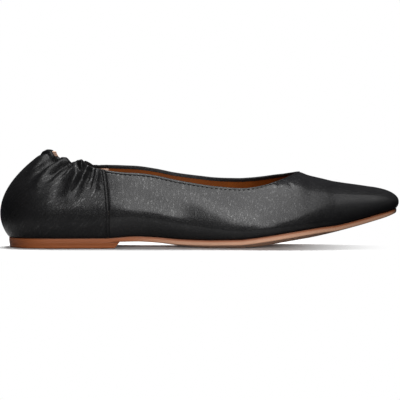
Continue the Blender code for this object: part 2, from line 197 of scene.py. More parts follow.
floor_material, tree, shader = new_material("pale_floor")
rays = add_node(tree, "ShaderNodeLightPath")
colour = mixed_colour(tree, rays.outputs["Is Glossy Ray"], FLOOR_COLOUR, FLOOR_MIRRORED)
tree.links.new(colour, shader.inputs["Base Color"])
shader.inputs["Roughness"].default_value = 1.0
shader.inputs["Specular IOR Level"].default_value = 0.0
coordinates = add_node(tree, "ShaderNodeTexCoord").outputs["Object"]
shaped = add_node(
    tree,
    "ShaderNodeVectorMath",
    {0: coordinates, 1: (1 / FADE_LENGTH, 1 / FADE_WIDTH, 0.0)},
    operation="MULTIPLY",
)
away = add_node(tree, "ShaderNodeVectorMath", {0: shaped.outputs["Vector"]}, operation="LENGTH")
fade = ranged(tree, away.outputs["Value"], FADE_START, FADE_END)
clear = add_node(tree, "ShaderNodeBsdfTransparent")
faded = add_node(
    tree,
    "ShaderNodeMixShader",
    {0: fade, 1: shader.outputs["BSDF"], 2: clear.outputs["BSDF"]},
)
tree.links.new(faded.outputs["Shader"], tree.nodes["Material Output"].inputs["Surface"])
floor_mesh.materials.append(floor_material)
print("floor fades from", FADE_LENGTH * FADE_START, "to", FADE_LENGTH * FADE_END, "m along")

# %% The world and the lights
WORLD_SEEN = (1.0, 1.0, 1.0, 1.0)
WORLD_GLOW = (0.030, 0.031, 0.034, 1.0)
# left, right: the strip's sides along X. low: the height of its lower edge. lean: how far its top
# leans to the right. radiance: how bright it is, in watts per square metre and steradian.
STRIPS = (
    (-0.200, -0.025, 0.300, 0.00, 1.0),
    (-0.025, -0.002, 0.140, 0.00, 3.0),
    (-0.002, 0.040, 0.065, 0.00, 5.8),
    (0.040, 0.085, 0.020, 0.00, 4.6),
    (0.085, 0.130, 0.020, 0.00, 4.2),
    (0.130, 0.175, 0.060, 0.00, 3.7),
    (0.175, 0.220, 0.085, 0.01, 3.2),
    (0.220, 0.265, 0.110, 0.02, 2.7),
    (0.265, 0.310, 0.150, 0.04, 2.1),
    (0.310, 0.350, 0.200, 0.06, 1.2),
    (0.350, 0.400, 0.280, 0.08, 0.4),
)
# Every strip stands in front of the shoe and leans back over it, up to one height.
STRIP_FRONT = -0.44
STRIP_BACK = 0.20
STRIP_TOP = 0.70
FILL_WATTS = 42.0
FILL_SIZE = 1.0
FILL_PLACE = (0.09, 0.50, 1.35)
LOW_FRONT_WATTS = 4.0
LOW_FRONT_WIDTH = 0.8
LOW_FRONT_HEIGHT = 0.08
LOW_FRONT_PLACE = (0.09, -0.44, 0.06)
ALONG = Vector((1.0, 0.0, 0.0))
ACROSS = Vector((0.0, 1.0, 0.0))
UPRIGHT = Vector((0.0, 0.0, 1.0))

world = bpy.data.worlds.new("white_world")
bpy.context.scene.world = world
world.use_nodes = True
tree = world.node_tree
background = tree.nodes["Background"]
rays = add_node(tree, "ShaderNodeLightPath")
glow = mixed_colour(tree, rays.outputs["Is Camera Ray"], WORLD_GLOW, WORLD_SEEN)
tree.links.new(glow, background.inputs["Color"])


def area_light(name, middle, facing, upright, width, height, watts):
    """An area light at middle that shines along facing, with its height along upright."""
    data = bpy.data.lights.new(name, "AREA")
    data.shape = "RECTANGLE"
    data.size = width
    data.size_y = height
    data.energy = watts
    made = bpy.data.objects.new(name, data)
    made.location = middle
    made.rotation_mode = "QUATERNION"
    backward = -facing.normalized()
    sideways = upright.cross(backward).normalized()
    turn = Matrix((sideways, backward.cross(sideways), backward)).transposed()
    made.rotation_quaternion = turn.to_quaternion()
    made.visible_camera = False
    bpy.context.scene.collection.objects.link(made)
    print(name, "at", [round(x, 2) for x in middle], round(watts, 1), "W")
    return made


def floor_linking(name, state):
    """A collection for light linking. INCLUDE: the light reaches the floor alone. EXCLUDE: all but
    the floor."""
    made = bpy.data.collections.new(name)
    made.objects.link(floor)
    made.collection_objects[0].light_linking.link_state = state
    return made


all_but_floor = floor_linking("all_but_floor", "EXCLUDE")
for number, (left, right, low, lean, radiance) in enumerate(STRIPS):
    foot = Vector(((left + right) / 2, STRIP_FRONT, low))
    top = Vector(((left + right) / 2 + lean, STRIP_BACK, STRIP_TOP))
    rise = top - foot
    watts = radiance * math.pi * (right - left) * rise.length
    middle = (foot + top) / 2
    strip = area_light(
        f"strip_{number}", middle, rise.cross(ALONG), rise, right - left, rise.length, watts
    )
    strip.light_linking.receiver_collection = all_but_floor
fill_facing = Vector((*FLOOR_MIDDLE, 0.0)) - Vector(FILL_PLACE)
fill = area_light(
    "fill", Vector(FILL_PLACE), fill_facing, UPRIGHT, FILL_SIZE, FILL_SIZE, FILL_WATTS
)
fill.visible_glossy = False
low_front = area_light(
    "low_front", Vector(LOW_FRONT_PLACE), ACROSS, UPRIGHT,
    LOW_FRONT_WIDTH, LOW_FRONT_HEIGHT, LOW_FRONT_WATTS,
)
low_front.light_linking.receiver_collection = floor_linking("floor_alone", "INCLUDE")
bpy.context.scene.view_settings.view_transform = "Standard"

# %% [markdown]
# ## The sizes of the shoe
# These are the sizes that the solids were made from. The tables hold shares of them: the outline of
# the sole, its height from the side, the topline and the ridge of the vamp.

# %% Driving sizes
LENGTH = 0.260
BALL_WIDTH = 0.075
TOE_CORNER = 0.0042
TOE_BOW = 0.0012
HEEL_ROUND = 0.024
HEEL_BULGE = 0.0056
BACK_RISE = 0.0575
VAMP_RISE = 0.0379
NOSE = 0.017
TOE_SPRING = 0.0240
LIFT = 0.0039
BREAST = 0.0755
BREAST_SLANT = 0.0032
HEEL_CENTRE = 0.040
SOLE_THICKNESS = 0.0034
SOLE_CROWN = 0.0025
INSOLE_THICKNESS = 0.0020
WALL = 0.0018
LAP = 0.0006
SETBACK = 0.0005
GAP = 0.0003
# Shares: of the half outline (SEAM), of LENGTH, of BALL_WIDTH (RIDGE_SWAY) and of the way from the
# sole's middle to its edge (FLAT_MIDDLE).
SEAM = 0.284
VAMP_START = 0.56
VAMP_FULL = 0.72
RIDGE_SWAY_AT = 0.76
RIDGE_SWAY_REACH = 0.30
RIDGE_SWAY = 0.055
FLAT_MIDDLE = 0.40
# Powers of the curves that the leather follows above its widest line.
BACK_CURVE = 2.0
SIDE_CURVE = 1.9
VAMP_CURVE = 2.2
DOME_ACROSS = 2.25
DOME_NOSE = 2.2
DOME_NOSE_LIFT = 0.46
# Points along half the outline.
DENSE = 1200
print("length", LENGTH / MM, "mm, ball", BALL_WIDTH / MM, "mm, breast at", BREAST / MM, "mm")

# %% Tables of the outline, the sole, the topline and the ridge
# x: share of LENGTH. outer, inner: half widths, shares of BALL_WIDTH. swell_outer, swell_inner: how
# far the widest line stands out, shares of HEEL_BULGE. widest: its height, a share of BACK_RISE.
OUTLINE = np.array(
    [
        (0.000, 0.350, 0.345, 1.00, 1.00, 0.265),
        (0.060, 0.350, 0.345, 0.82, 0.82, 0.270),
        (0.117, 0.350, 0.343, 0.62, 0.62, 0.280),
        (0.192, 0.347, 0.334, 0.55, 0.58, 0.275),
        (0.269, 0.337, 0.304, 0.58, 0.74, 0.262),
        (0.346, 0.334, 0.268, 0.66, 0.92, 0.236),
        (0.404, 0.343, 0.252, 0.66, 0.98, 0.206),
        (0.462, 0.368, 0.262, 0.56, 0.86, 0.178),
        (0.519, 0.408, 0.312, 0.46, 0.62, 0.146),
        (0.577, 0.451, 0.387, 0.38, 0.44, 0.110),
        (0.635, 0.488, 0.451, 0.31, 0.33, 0.094),
        (0.692, 0.508, 0.488, 0.28, 0.28, 0.088),
        (0.731, 0.506, 0.494, 0.26, 0.26, 0.085),
        (0.769, 0.486, 0.480, 0.25, 0.25, 0.084),
        (0.827, 0.432, 0.434, 0.23, 0.23, 0.086),
        (0.885, 0.360, 0.374, 0.24, 0.24, 0.080),
        (0.942, 0.290, 0.316, 0.26, 0.26, 0.072),
        (1.000, 0.222, 0.258, 0.28, 0.28, 0.066),
    ]
)
# x: share of LENGTH. lift, spring: height of the underside, shares of LIFT and TOE_SPRING. thick:
# share of SOLE_THICKNESS. crown: how far the edge stands above the middle, share of SOLE_CROWN.
SIDE = np.array(
    [
        (0.000, 1.00, 0.000, 0.74, 0.00),
        (0.150, 1.00, 0.000, 0.74, 0.00),
        (0.270, 1.00, 0.000, 0.76, 0.00),
        (0.300, 1.04, 0.000, 0.84, 0.04),
        (0.342, 1.06, 0.000, 1.00, 0.10),
        (0.387, 0.88, 0.000, 1.00, 0.24),
        (0.448, 0.40, 0.000, 1.00, 0.46),
        (0.503, 0.08, 0.000, 1.00, 0.76),
        (0.540, 0.00, 0.000, 1.00, 0.88),
        (0.600, 0.00, 0.000, 1.00, 1.06),
        (0.629, 0.00, 0.015, 1.00, 1.26),
        (0.659, 0.00, 0.055, 1.00, 1.34),
        (0.689, 0.00, 0.110, 1.00, 1.32),
        (0.719, 0.00, 0.167, 1.00, 1.30),
        (0.749, 0.00, 0.225, 1.00, 1.26),
        (0.779, 0.00, 0.282, 1.00, 1.20),
        (0.810, 0.00, 0.355, 1.00, 0.96),
        (0.840, 0.00, 0.435, 1.00, 0.55),
        (0.870, 0.00, 0.520, 1.00, 0.40),
        (0.900, 0.00, 0.607, 1.00, 0.32),
        (0.930, 0.00, 0.703, 1.00, 0.24),
        (0.960, 0.00, 0.808, 0.94, 0.12),
        (1.000, 0.00, 0.985, 0.62, 0.00),
    ]
)
# foot: share of the half outline where the rib stands. x: share of LENGTH. outer, outer_rise, inner,
# inner_rise: half widths and heights above the sole, shares of BALL_WIDTH and BACK_RISE.
TOPLINE = np.array(
    [
        (0.000, 0.1120, 0.000, 0.950, 0.000, 0.950),
        (0.022, 0.1180, 0.045, 0.974, 0.045, 0.972),
        (0.045, 0.1310, 0.092, 0.978, 0.092, 0.974),
        (0.062, 0.1400, 0.127, 0.920, 0.127, 0.912),
        (0.100, 0.1577, 0.180, 0.913, 0.180, 0.890),
        (0.140, 0.1750, 0.220, 0.888, 0.217, 0.860),
        (0.165, 0.1865, 0.246, 0.842, 0.240, 0.848),
        (0.200, 0.2058, 0.280, 0.884, 0.268, 0.865),
        (0.225, 0.2212, 0.300, 0.848, 0.290, 0.835),
        (0.245, 0.2346, 0.317, 0.805, 0.304, 0.808),
        (0.262, 0.2462, 0.328, 0.788, 0.317, 0.806),
        (0.284, 0.2660, 0.340, 0.770, 0.330, 0.808),
        (0.330, 0.3270, 0.355, 0.718, 0.336, 0.779),
        (0.370, 0.3730, 0.363, 0.702, 0.341, 0.755),
        (0.425, 0.4330, 0.371, 0.669, 0.349, 0.722),
        (0.480, 0.4920, 0.379, 0.634, 0.363, 0.698),
        (0.535, 0.5530, 0.384, 0.598, 0.381, 0.672),
        (0.575, 0.5980, 0.381, 0.579, 0.389, 0.663),
        (0.612, 0.6270, 0.372, 0.571, 0.387, 0.656),
        (0.655, 0.6580, 0.341, 0.575, 0.368, 0.651),
        (0.710, 0.6885, 0.291, 0.594, 0.328, 0.649),
        (0.780, 0.7155, 0.213, 0.615, 0.261, 0.643),
        (0.870, 0.7345, 0.120, 0.636, 0.173, 0.644),
        (0.940, 0.7435, 0.033, 0.645, 0.098, 0.647),
        (1.000, 0.7460, -0.033, 0.648, 0.033, 0.648),
    ]
)
# x: share of LENGTH. rise: share of VAMP_RISE above the sole.
RIDGE = np.array(
    [
        (0.550, 1.300),
        (0.640, 1.160),
        (0.700, 1.060),
        (0.746, 0.985),
        (0.777, 0.880),
        (0.808, 0.799),
        (0.854, 0.687),
        (0.898, 0.574),
        (0.944, 0.446),
        (1.000, 0.325),
    ]
)
TOE_BULGE = HEEL_BULGE * OUTLINE[-1, 3]
print("tables hold", len(OUTLINE), len(SIDE), len(TOPLINE), len(RIDGE), "rows")

# %% [markdown]
# ## Curves through the tables
# A shoemaker bends a thin batten through a few marks to get a fair line. A cubic that never
# overshoots its marks does the same here. Blender's own curves could do it too, but a table read by
# one short function keeps every height next to its name.


# %% Curve helpers
def read(table, column, at):
    """A table's column at places along its first column, by a cubic that never overshoots a row."""
    knots = table[:, 0]
    values = table[:, column]
    steps = np.diff(knots)
    secants = np.diff(values) / steps
    slopes = np.empty(len(knots))
    slopes[0] = secants[0]
    slopes[-1] = secants[-1]
    same = secants[:-1] * secants[1:] > 0
    total = np.where(same, secants[:-1] + secants[1:], 1.0)
    slopes[1:-1] = np.where(same, 2 * secants[:-1] * secants[1:] / total, 0.0)
    at = np.clip(np.asarray(at, float), knots[0], knots[-1])
    i = np.clip(np.searchsorted(knots, at) - 1, 0, len(knots) - 2)
    t = (at - knots[i]) / steps[i]
    keep = (1 + 2 * t) * (1 - t) ** 2 * values[i] + t * t * (3 - 2 * t) * values[i + 1]
    return keep + steps[i] * t * (1 - t) * ((1 - t) * slopes[i] - t * slopes[i + 1])


def at_shares(points, shares):
    """Points of a line at these shares of its length."""
    lengths = np.linalg.norm(np.diff(points, axis=0), axis=1)
    along = np.concatenate([[0.0], np.cumsum(lengths)])
    along /= along[-1]
    return np.stack([np.interp(shares, along, points[:, k]) for k in range(points.shape[1])], axis=1)


def eased(t):
    """0 to 1 with level ends."""
    t = np.clip(t, 0.0, 1.0)
    return t * t * (3 - 2 * t)


def softened(loop, reach):
    """A closed, evenly spaced loop of points, each averaged with its neighbours within reach."""
    steps = np.linalg.norm(np.diff(loop[:, :2], axis=0), axis=1).mean()
    away = np.arange(len(loop))
    away = np.minimum(away, len(loop) - away) * steps
    kernel = np.exp(-0.5 * (away / reach) ** 2)
    kernel /= kernel.sum()
    spectrum = np.fft.rfft(kernel)[:, None] * np.fft.rfft(loop, axis=0)
    return np.fft.irfft(spectrum, len(loop), axis=0)


# %% [markdown]
# ## The outline of the sole
# Seen from above the sole is a round heel, a narrow waist, a broad ball and a blunt, square toe.
# The loop is drawn from the heel's centre down the outer side to the toe and back up the inner
# side, then softened, which rounds the toe's corners as a knife does.


# %% The outline and places on it
def half_outline(column):
    """Half of the sole's outline, from the heel's centre to the toe's: column 1 outer, 2 inner."""
    back = HEEL_BULGE
    tip = LENGTH - TOE_BULGE
    side_x = np.linspace(back + HEEL_ROUND, tip - TOE_BOW, DENSE)
    side = np.stack([side_x, BALL_WIDTH * read(OUTLINE, column, side_x / LENGTH)], axis=1)
    angle = np.linspace(0, math.pi / 2, DENSE // 4, endpoint=False)
    heel_x = back + HEEL_ROUND * (1 - np.cos(angle))
    heel = np.stack([heel_x, side[0, 1] * np.sin(angle)], axis=1)
    across = np.linspace(1, 0, DENSE // 8)[1:]
    front = np.stack([tip - TOE_BOW * across**2, side[-1, 1] * across], axis=1)
    return np.concatenate([heel, side, front])


outer_half = at_shares(half_outline(1) * (1, -1), np.linspace(0, 1, DENSE, endpoint=False))
inner_half = at_shares(half_outline(2), np.linspace(1, 0, DENSE, endpoint=False))
outline_loop = softened(np.concatenate([outer_half, inner_half]), TOE_CORNER)
loop_ahead = np.roll(outline_loop, -1, axis=0) - np.roll(outline_loop, 1, axis=0)
loop_ahead /= np.linalg.norm(loop_ahead, axis=1)[:, None]
loop_outward = np.stack([loop_ahead[:, 1], -loop_ahead[:, 0]], axis=1)
HALF_LENGTH = np.linalg.norm(np.diff(outline_loop[: DENSE + 1], axis=0), axis=1).sum()


def outline_at(shares, side):
    """(points, outward directions) at shares of the half on one side, -1 outer and 1 inner."""
    place = np.asarray(shares) * DENSE
    place = place if side < 0 else 2 * DENSE - place
    index = np.arange(2 * DENSE + 1)
    once = np.hstack([outline_loop, loop_outward])
    closed = np.concatenate([once, once[:1]])
    found = np.stack([np.interp(place, index, closed[:, k]) for k in range(4)], axis=1)
    return found[:, :2], found[:, 2:]


print("half outline", round(HALF_LENGTH / MM, 1), "mm")


# %% Heights of the sole
def underside(x):
    """Height of the sole's underside along its middle."""
    share = x / LENGTH
    return LIFT * read(SIDE, 1, share) + TOE_SPRING * read(SIDE, 2, share)


def crown(x):
    """How far the sole's edge stands above its middle."""
    return SOLE_CROWN * read(SIDE, 4, x / LENGTH)


def thickness(x):
    """Thickness of the outsole."""
    return SOLE_THICKNESS * read(SIDE, 3, x / LENGTH)


def sole_top(x):
    """Height of the outsole's upper edge, where the upper stands."""
    return underside(x) + crown(x) + thickness(x)


print("the toe's edge lies", round(sole_top(LENGTH) / MM, 1), "mm up")

# %% [markdown]
# ## The form of the upper
# A last gives a flat its form: straight ribs of leather rise from the sole, swell to a widest line,
# lean in to the topline, and over the toes become a low dome. Each rib here is such a line, worked
# out from the widest line and the topline. Over the ball the ribs turn from the wall's curve into
# the dome's.


# %% Widest line, dome and topline
def widest_height(x):
    """Height at which the wall stands out furthest."""
    return sole_top(x) + BACK_RISE * read(OUTLINE, 5, x / LENGTH)


def widest_line(shares, side):
    """Points of the widest line at shares of the half outline."""
    points, outward = outline_at(shares, side)
    column = 3 if side < 0 else 4
    swell = HEEL_BULGE * read(OUTLINE, column, points[:, 0] / LENGTH)
    wide = points + outward * swell[:, None]
    return np.column_stack([wide, widest_height(np.clip(wide[:, 0], 0, LENGTH))])


def ridge_height(x):
    """Height of the vamp's ridge, which dives to the widest line at the nose."""
    base = sole_top(x) + VAMP_RISE * read(RIDGE, 1, x / LENGTH)
    into_nose = np.clip((x - (LENGTH - NOSE)) / NOSE, 0, 1)
    low = widest_height(x)
    return low + (base - low) * (1 - into_nose**DOME_NOSE) ** DOME_NOSE_LIFT


def ridge_middle(x):
    """How far the ridge sways to the inner side."""
    away = np.abs(x / LENGTH - RIDGE_SWAY_AT) / RIDGE_SWAY_REACH
    return BALL_WIDTH * RIDGE_SWAY * eased(1 - away)


def dome_height(x, y, half_width):
    """Height of the dome over the toes at a distance from its ridge."""
    share = np.clip(np.abs(y - ridge_middle(x)) / half_width, 0, 1)
    low = widest_height(np.clip(x, 0, LENGTH))
    high = ridge_height(np.clip(x, 0, LENGTH))
    return low + (high - low) * np.sqrt(1 - share**DOME_ACROSS)


def topline_at(shares, side):
    """Points of the topline above shares of the half outline."""
    x = LENGTH * read(TOPLINE, 1, shares)
    half, rise = (2, 3) if side < 0 else (4, 5)
    y = side * BALL_WIDTH * read(TOPLINE, half, shares)
    return np.column_stack([x, y, sole_top(x) + BACK_RISE * read(TOPLINE, rise, shares)])


print("the back is", round(topline_at([0.0], -1)[0, 2] / MM, 1), "mm high")

# %% Ribs from the sole to the topline
RIB_ROWS = 161
JOINT = 0.00005
LOWER_POINTS = 40
UPPER_POINTS = 121


def ribs(shares, side):
    """Ribs of the upper: an array of shares by RIB_ROWS by 3, evenly spaced along each rib."""
    feet, outward = outline_at(shares, side)
    feet = feet - outward * SETBACK
    feet = np.column_stack([feet, sole_top(np.clip(feet[:, 0], 0, LENGTH)) + JOINT])
    wide = widest_line(shares, side)
    top = topline_at(shares, side)
    t = np.linspace(0, 1, LOWER_POINTS)[None, :, None]
    low_xy = feet[:, None, :2] + (wide - feet)[:, None, :2] * (1 - (1 - t) ** 2)
    low_z = feet[:, None, 2] + (wide - feet)[:, None, 2] * t[:, :, 0]
    q = np.linspace(0, 1, UPPER_POINTS)[None, 1:, None]
    power = BACK_CURVE + (SIDE_CURVE - BACK_CURVE) * eased(shares / SEAM)[:, None, None]
    side_xy = wide[:, None, :2] + (top - wide)[:, None, :2] * q**power
    side_z = wide[:, None, 2] + (top - wide)[:, None, 2] * q[:, :, 0]
    vamp_xy = wide[:, None, :2] + (top - wide)[:, None, :2] * q**VAMP_CURVE
    fine = widest_line(np.linspace(0, 1, DENSE), side)
    order = np.argsort(fine[:, 0], kind="stable")
    edge = np.interp(vamp_xy[:, :, 0], fine[order, 0], fine[order, 1])
    half = np.abs(edge - ridge_middle(vamp_xy[:, :, 0]))
    vamp_z = dome_height(vamp_xy[:, :, 0], vamp_xy[:, :, 1], half)
    vamp_z += (top[:, None, 2] - vamp_z[:, -1:]) * q[:, :, 0] ** 3
    vamp = eased((wide[:, 0] / LENGTH - VAMP_START) / (VAMP_FULL - VAMP_START))[:, None]
    rows = np.linspace(0, 1, RIB_ROWS)
    made = []
    for i in range(len(wide)):
        lower = np.column_stack([low_xy[i], low_z[i]])
        by_side = at_shares(np.concatenate([lower, np.column_stack([side_xy[i], side_z[i]])]), rows)
        by_vamp = at_shares(np.concatenate([lower, np.column_stack([vamp_xy[i], vamp_z[i]])]), rows)
        made.append(by_side * (1 - vamp[i]) + by_vamp * vamp[i])
    return np.array(made)


# %% [markdown]
# ## Creases
# An elastic in the collar pulls the heel leather together, so it stands in soft ridges and dark
# troughs that fan down and back from the topline. They could be left to noise, but their places are
# what makes this heel this heel, so the main ones are listed one by one, each as a short curved line:
# two ends and a middle, a half width and a height. A negative height is a trough. Places are shares
# of the half outline (along) and of the rib (up), so they stay put when the shoe is resized.

# %% Table of the creases
# side: -1 outer, 1 inner. along_0, up_0: the end at the collar. along_1, up_1: the middle.
# along_2, up_2: the lower end. half: half width in mm. height: in mm. The last four rows are in the
# front panel: a long, soft swell at the sheen's lower edge, and three faint folds beside the throat.
CREASES = np.array(
    [
        (-1, 0.044, 0.96, 0.056, 0.80, 0.062, 0.60, 3.4, 1.50),
        (-1, 0.068, 0.84, 0.064, 0.79, 0.060, 0.72, 0.8, -0.45),
        (-1, 0.060, 0.915, 0.095, 0.905, 0.134, 0.885, 2.0, -1.10),
        (-1, 0.097, 1.00, 0.083, 0.77, 0.084, 0.56, 2.4, -1.90),
        (-1, 0.142, 0.97, 0.110, 0.80, 0.104, 0.46, 3.0, 2.00),
        (-1, 0.160, 1.00, 0.136, 0.80, 0.122, 0.56, 2.8, -2.40),
        (-1, 0.152, 0.77, 0.137, 0.65, 0.120, 0.52, 1.0, 0.75),
        (-1, 0.146, 0.70, 0.132, 0.60, 0.118, 0.48, 0.8, -0.35),
        (-1, 0.181, 0.93, 0.168, 0.86, 0.156, 0.76, 1.1, 0.80),
        (-1, 0.171, 0.93, 0.158, 0.83, 0.147, 0.70, 0.9, -0.50),
        (-1, 0.186, 0.98, 0.202, 0.88, 0.212, 0.83, 1.5, -1.30),
        (-1, 0.213, 0.84, 0.197, 0.73, 0.184, 0.50, 4.0, 2.10),
        (-1, 0.229, 0.98, 0.216, 0.77, 0.197, 0.46, 2.6, -2.80),
        (-1, 0.209, 1.00, 0.211, 0.93, 0.226, 0.84, 1.3, 1.10),
        (-1, 0.251, 1.00, 0.240, 0.86, 0.230, 0.70, 1.1, 0.38),
        (-1, 0.246, 0.97, 0.236, 0.80, 0.227, 0.64, 1.0, -0.40),
        (-1, 0.264, 1.00, 0.254, 0.86, 0.243, 0.70, 1.1, 0.36),
        (-1, 0.257, 0.97, 0.247, 0.82, 0.237, 0.66, 1.0, -0.38),
        (-1, 0.269, 0.97, 0.258, 0.79, 0.249, 0.62, 1.0, -0.40),
        (1, 0.036, 1.00, 0.050, 0.82, 0.054, 0.62, 3.6, 1.20),
        (1, 0.085, 1.00, 0.075, 0.80, 0.072, 0.60, 2.4, -1.40),
        (1, 0.118, 1.00, 0.100, 0.80, 0.094, 0.52, 3.2, 1.50),
        (1, 0.144, 1.00, 0.126, 0.80, 0.113, 0.56, 2.6, -1.70),
        (1, 0.160, 0.84, 0.148, 0.70, 0.136, 0.56, 1.2, 0.80),
        (1, 0.180, 1.00, 0.172, 0.86, 0.160, 0.66, 3.2, 1.30),
        (1, 0.198, 1.00, 0.190, 0.80, 0.176, 0.54, 2.3, -1.80),
        (1, 0.222, 0.92, 0.212, 0.74, 0.200, 0.54, 3.4, 1.50),
        (1, 0.236, 1.00, 0.230, 0.84, 0.220, 0.62, 1.5, -1.20),
        (1, 0.250, 1.00, 0.243, 0.84, 0.236, 0.68, 1.1, 0.65),
        (1, 0.259, 0.98, 0.252, 0.82, 0.246, 0.66, 0.9, -0.60),
        (1, 0.268, 1.00, 0.262, 0.86, 0.256, 0.72, 1.0, 0.45),
        (-1, 0.240, 0.41, 0.410, 0.35, 0.600, 0.22, 8.5, 0.60),
        (-1, 0.748, 0.86, 0.730, 0.74, 0.718, 0.60, 2.2, -0.22),
        (-1, 0.700, 0.93, 0.690, 0.84, 0.684, 0.76, 1.6, 0.20),
        (1, 0.752, 0.86, 0.732, 0.74, 0.720, 0.62, 2.6, -0.35),
    ]
)
MEAN_RIB = 0.056
# The small wrinkles: how many, and the least and the most of each measure. Height and half width
# are in mm, the others are shares. FINE_SLANT is how far a wrinkle leans back for its length.
FINE_CREASES = 130
FINE_ALONG = (0.03, 0.278)
FINE_UP = (0.74, 0.99)
FINE_REACH = (0.06, 0.15)
FINE_SLANT = 0.10
FINE_SLANT_SPREAD = (0.6, 1.4)
FINE_SLANT_MIDDLE = 0.6
FINE_HEIGHT = (0.05, 0.17)
FINE_HALF = (0.5, 0.9)
rng = np.random.default_rng(11)


def fine_creases():
    """Small seeded wrinkles between the main ones, near the collar, that follow the same slant."""
    rows = []
    for _ in range(FINE_CREASES):
        side = rng.choice((-1, 1))
        along = rng.uniform(*FINE_ALONG)
        up = rng.uniform(*FINE_UP)
        reach = rng.uniform(*FINE_REACH)
        slant = FINE_SLANT * reach * rng.uniform(*FINE_SLANT_SPREAD)
        height = rng.uniform(*FINE_HEIGHT) * rng.choice((-1, 1))
        half = rng.uniform(*FINE_HALF)
        middle = (along - slant * FINE_SLANT_MIDDLE, up - reach / 2)
        rows.append((side, along, up, *middle, along - slant, up - reach, half, height))
    return np.array(rows)


ALL_CREASES = np.vstack([CREASES, fine_creases()])
CREASE_POINTS = 13
# A crease that starts above AT_COLLAR runs on over the rim. The others rise over the first share of
# their length, and all of them die away over the last share.
AT_COLLAR = 0.97
CREASE_STARTS_OVER = 0.30
CREASE_ENDS_OVER = 0.55


def crease_push(along, up, side):
    """How far the creases push the leather out, for arrays of along and up of one shape."""
    place = np.stack([along * HALF_LENGTH, up * MEAN_RIB], axis=-1)
    push = np.zeros(along.shape)
    t = np.linspace(0, 1, CREASE_POINTS)[:, None]
    for row in ALL_CREASES[ALL_CREASES[:, 0] == side]:
        top, middle, end = (row[k : k + 2] * (HALF_LENGTH, MEAN_RIB) for k in (1, 3, 5))
        pull = 2 * middle - (top + end) / 2
        line = top * (1 - t) ** 2 + pull * 2 * t * (1 - t) + end * t * t
        half = row[7] * MM
        near = np.all((place > line.min(0) - 3 * half) & (place < line.max(0) + 3 * half), axis=-1)
        if not near.any():
            continue
        here = place[near]
        nearest = np.full(len(here), np.inf)
        share = np.zeros(len(here))
        for i in range(len(line) - 1):
            step = line[i + 1] - line[i]
            part = np.clip(((here - line[i]) @ step) / (step @ step), 0, 1)
            away = np.linalg.norm(here - line[i] - part[:, None] * step, axis=1)
            closer = away < nearest
            nearest = np.where(closer, away, nearest)
            share = np.where(closer, (i + part) / (len(line) - 1), share)
        rising = 1.0 if row[2] > AT_COLLAR else eased(share / CREASE_STARTS_OVER)
        fading = eased((1 - share) / CREASE_ENDS_OVER)
        push[near] += row[8] * MM * np.exp(-((nearest / half) ** 2)) * rising * fading
    return push


print("creases", len(CREASES), "by hand and", FINE_CREASES, "fine")

# %% [markdown]
# ## One sheet for every layer
# Leather, turned edge and lining are layers of one wall. So the wall is worked out once, as a sheet
# of points with an outward direction at each, and every layer is that sheet moved in or out. A
# place round the shoe is one number: 0 at the back, 1 at the toe on the outer side, and on beyond 1
# back along the inner side.


# %% The wall
FOOT_TURNS_OVER = 0.10
NEAREST_PLACES = 0.08 * MM


def wall_sheet(around):
    """Points, outward directions and rib lengths for places round the shoe."""
    around = np.asarray(around)
    outer = (around >= 0) & (around <= 1)
    shares = np.where(around > 1, 2 - around, np.abs(around))
    points = np.empty((len(around), RIB_ROWS, 3))
    up = np.linspace(0, 1, RIB_ROWS)
    push = np.empty((len(around), RIB_ROWS))
    for side, chosen in ((-1, outer), (1, ~outer)):
        if chosen.any():
            points[chosen] = ribs(shares[chosen], side)
            along = np.repeat(shares[chosen][:, None], RIB_ROWS, axis=1)
            push[chosen] = crease_push(along, np.tile(up, (chosen.sum(), 1)), side)
    normals = np.cross(np.gradient(points, axis=0), np.gradient(points, axis=1))
    normals[:, :, 2] *= eased(up / FOOT_TURNS_OVER)[None, :]
    normals /= np.linalg.norm(normals, axis=2)[:, :, None]
    points = points + normals * push[:, :, None]
    points[:, :, 0] -= HEEL_CENTRE
    lengths = np.linalg.norm(np.diff(points, axis=1), axis=2).sum(axis=1)
    return {
        "shares": shares, "outer": outer, "points": points, "normals": normals, "lengths": lengths
    }


def along_rib(values, up):
    """Values on the sheet's rows read at heights up, an array of columns by heights."""
    place = np.clip(up, 0, 1) * (RIB_ROWS - 1)
    low = np.clip(place.astype(int), 0, RIB_ROWS - 2)
    part = place - low
    column = np.arange(len(values))[:, None]
    if values.ndim == 3:
        part = part[:, :, None]
    return values[column, low] * (1 - part) + values[column, low + 1] * part


def on_wall(sheet, up, offset):
    """Points at heights up, moved outwards by offset."""
    return along_rib(sheet["points"], up) + along_rib(sheet["normals"], up) * offset[:, :, None]


def places(start, end, step, marks=(), reach=()):
    """Places from start to end, with extra ones on both sides of each mark at these distances."""
    made = list(np.linspace(start, end, int(round((end - start) * HALF_LENGTH / step)) + 1))
    for mark in marks:
        for away in reach:
            made += [mark - away / HALF_LENGTH, mark + away / HALF_LENGTH]
    made = np.unique(np.clip(made, start, end))
    keep = np.concatenate([[True], np.diff(made) > NEAREST_PLACES / HALF_LENGTH])
    return made[keep]


# %% Closed skins
SKIN_SHARP = math.radians(52)


def new_piece(name, points, faces, material):
    """A smooth mesh object through points."""
    mesh = bpy.data.meshes.new(name)
    mesh.from_pydata(points.reshape(-1, 3).tolist(), [], faces)
    mesh.materials.append(material)
    mesh.shade_smooth()
    made = bpy.data.objects.new(name, mesh)
    bpy.context.scene.collection.objects.link(made)
    return made


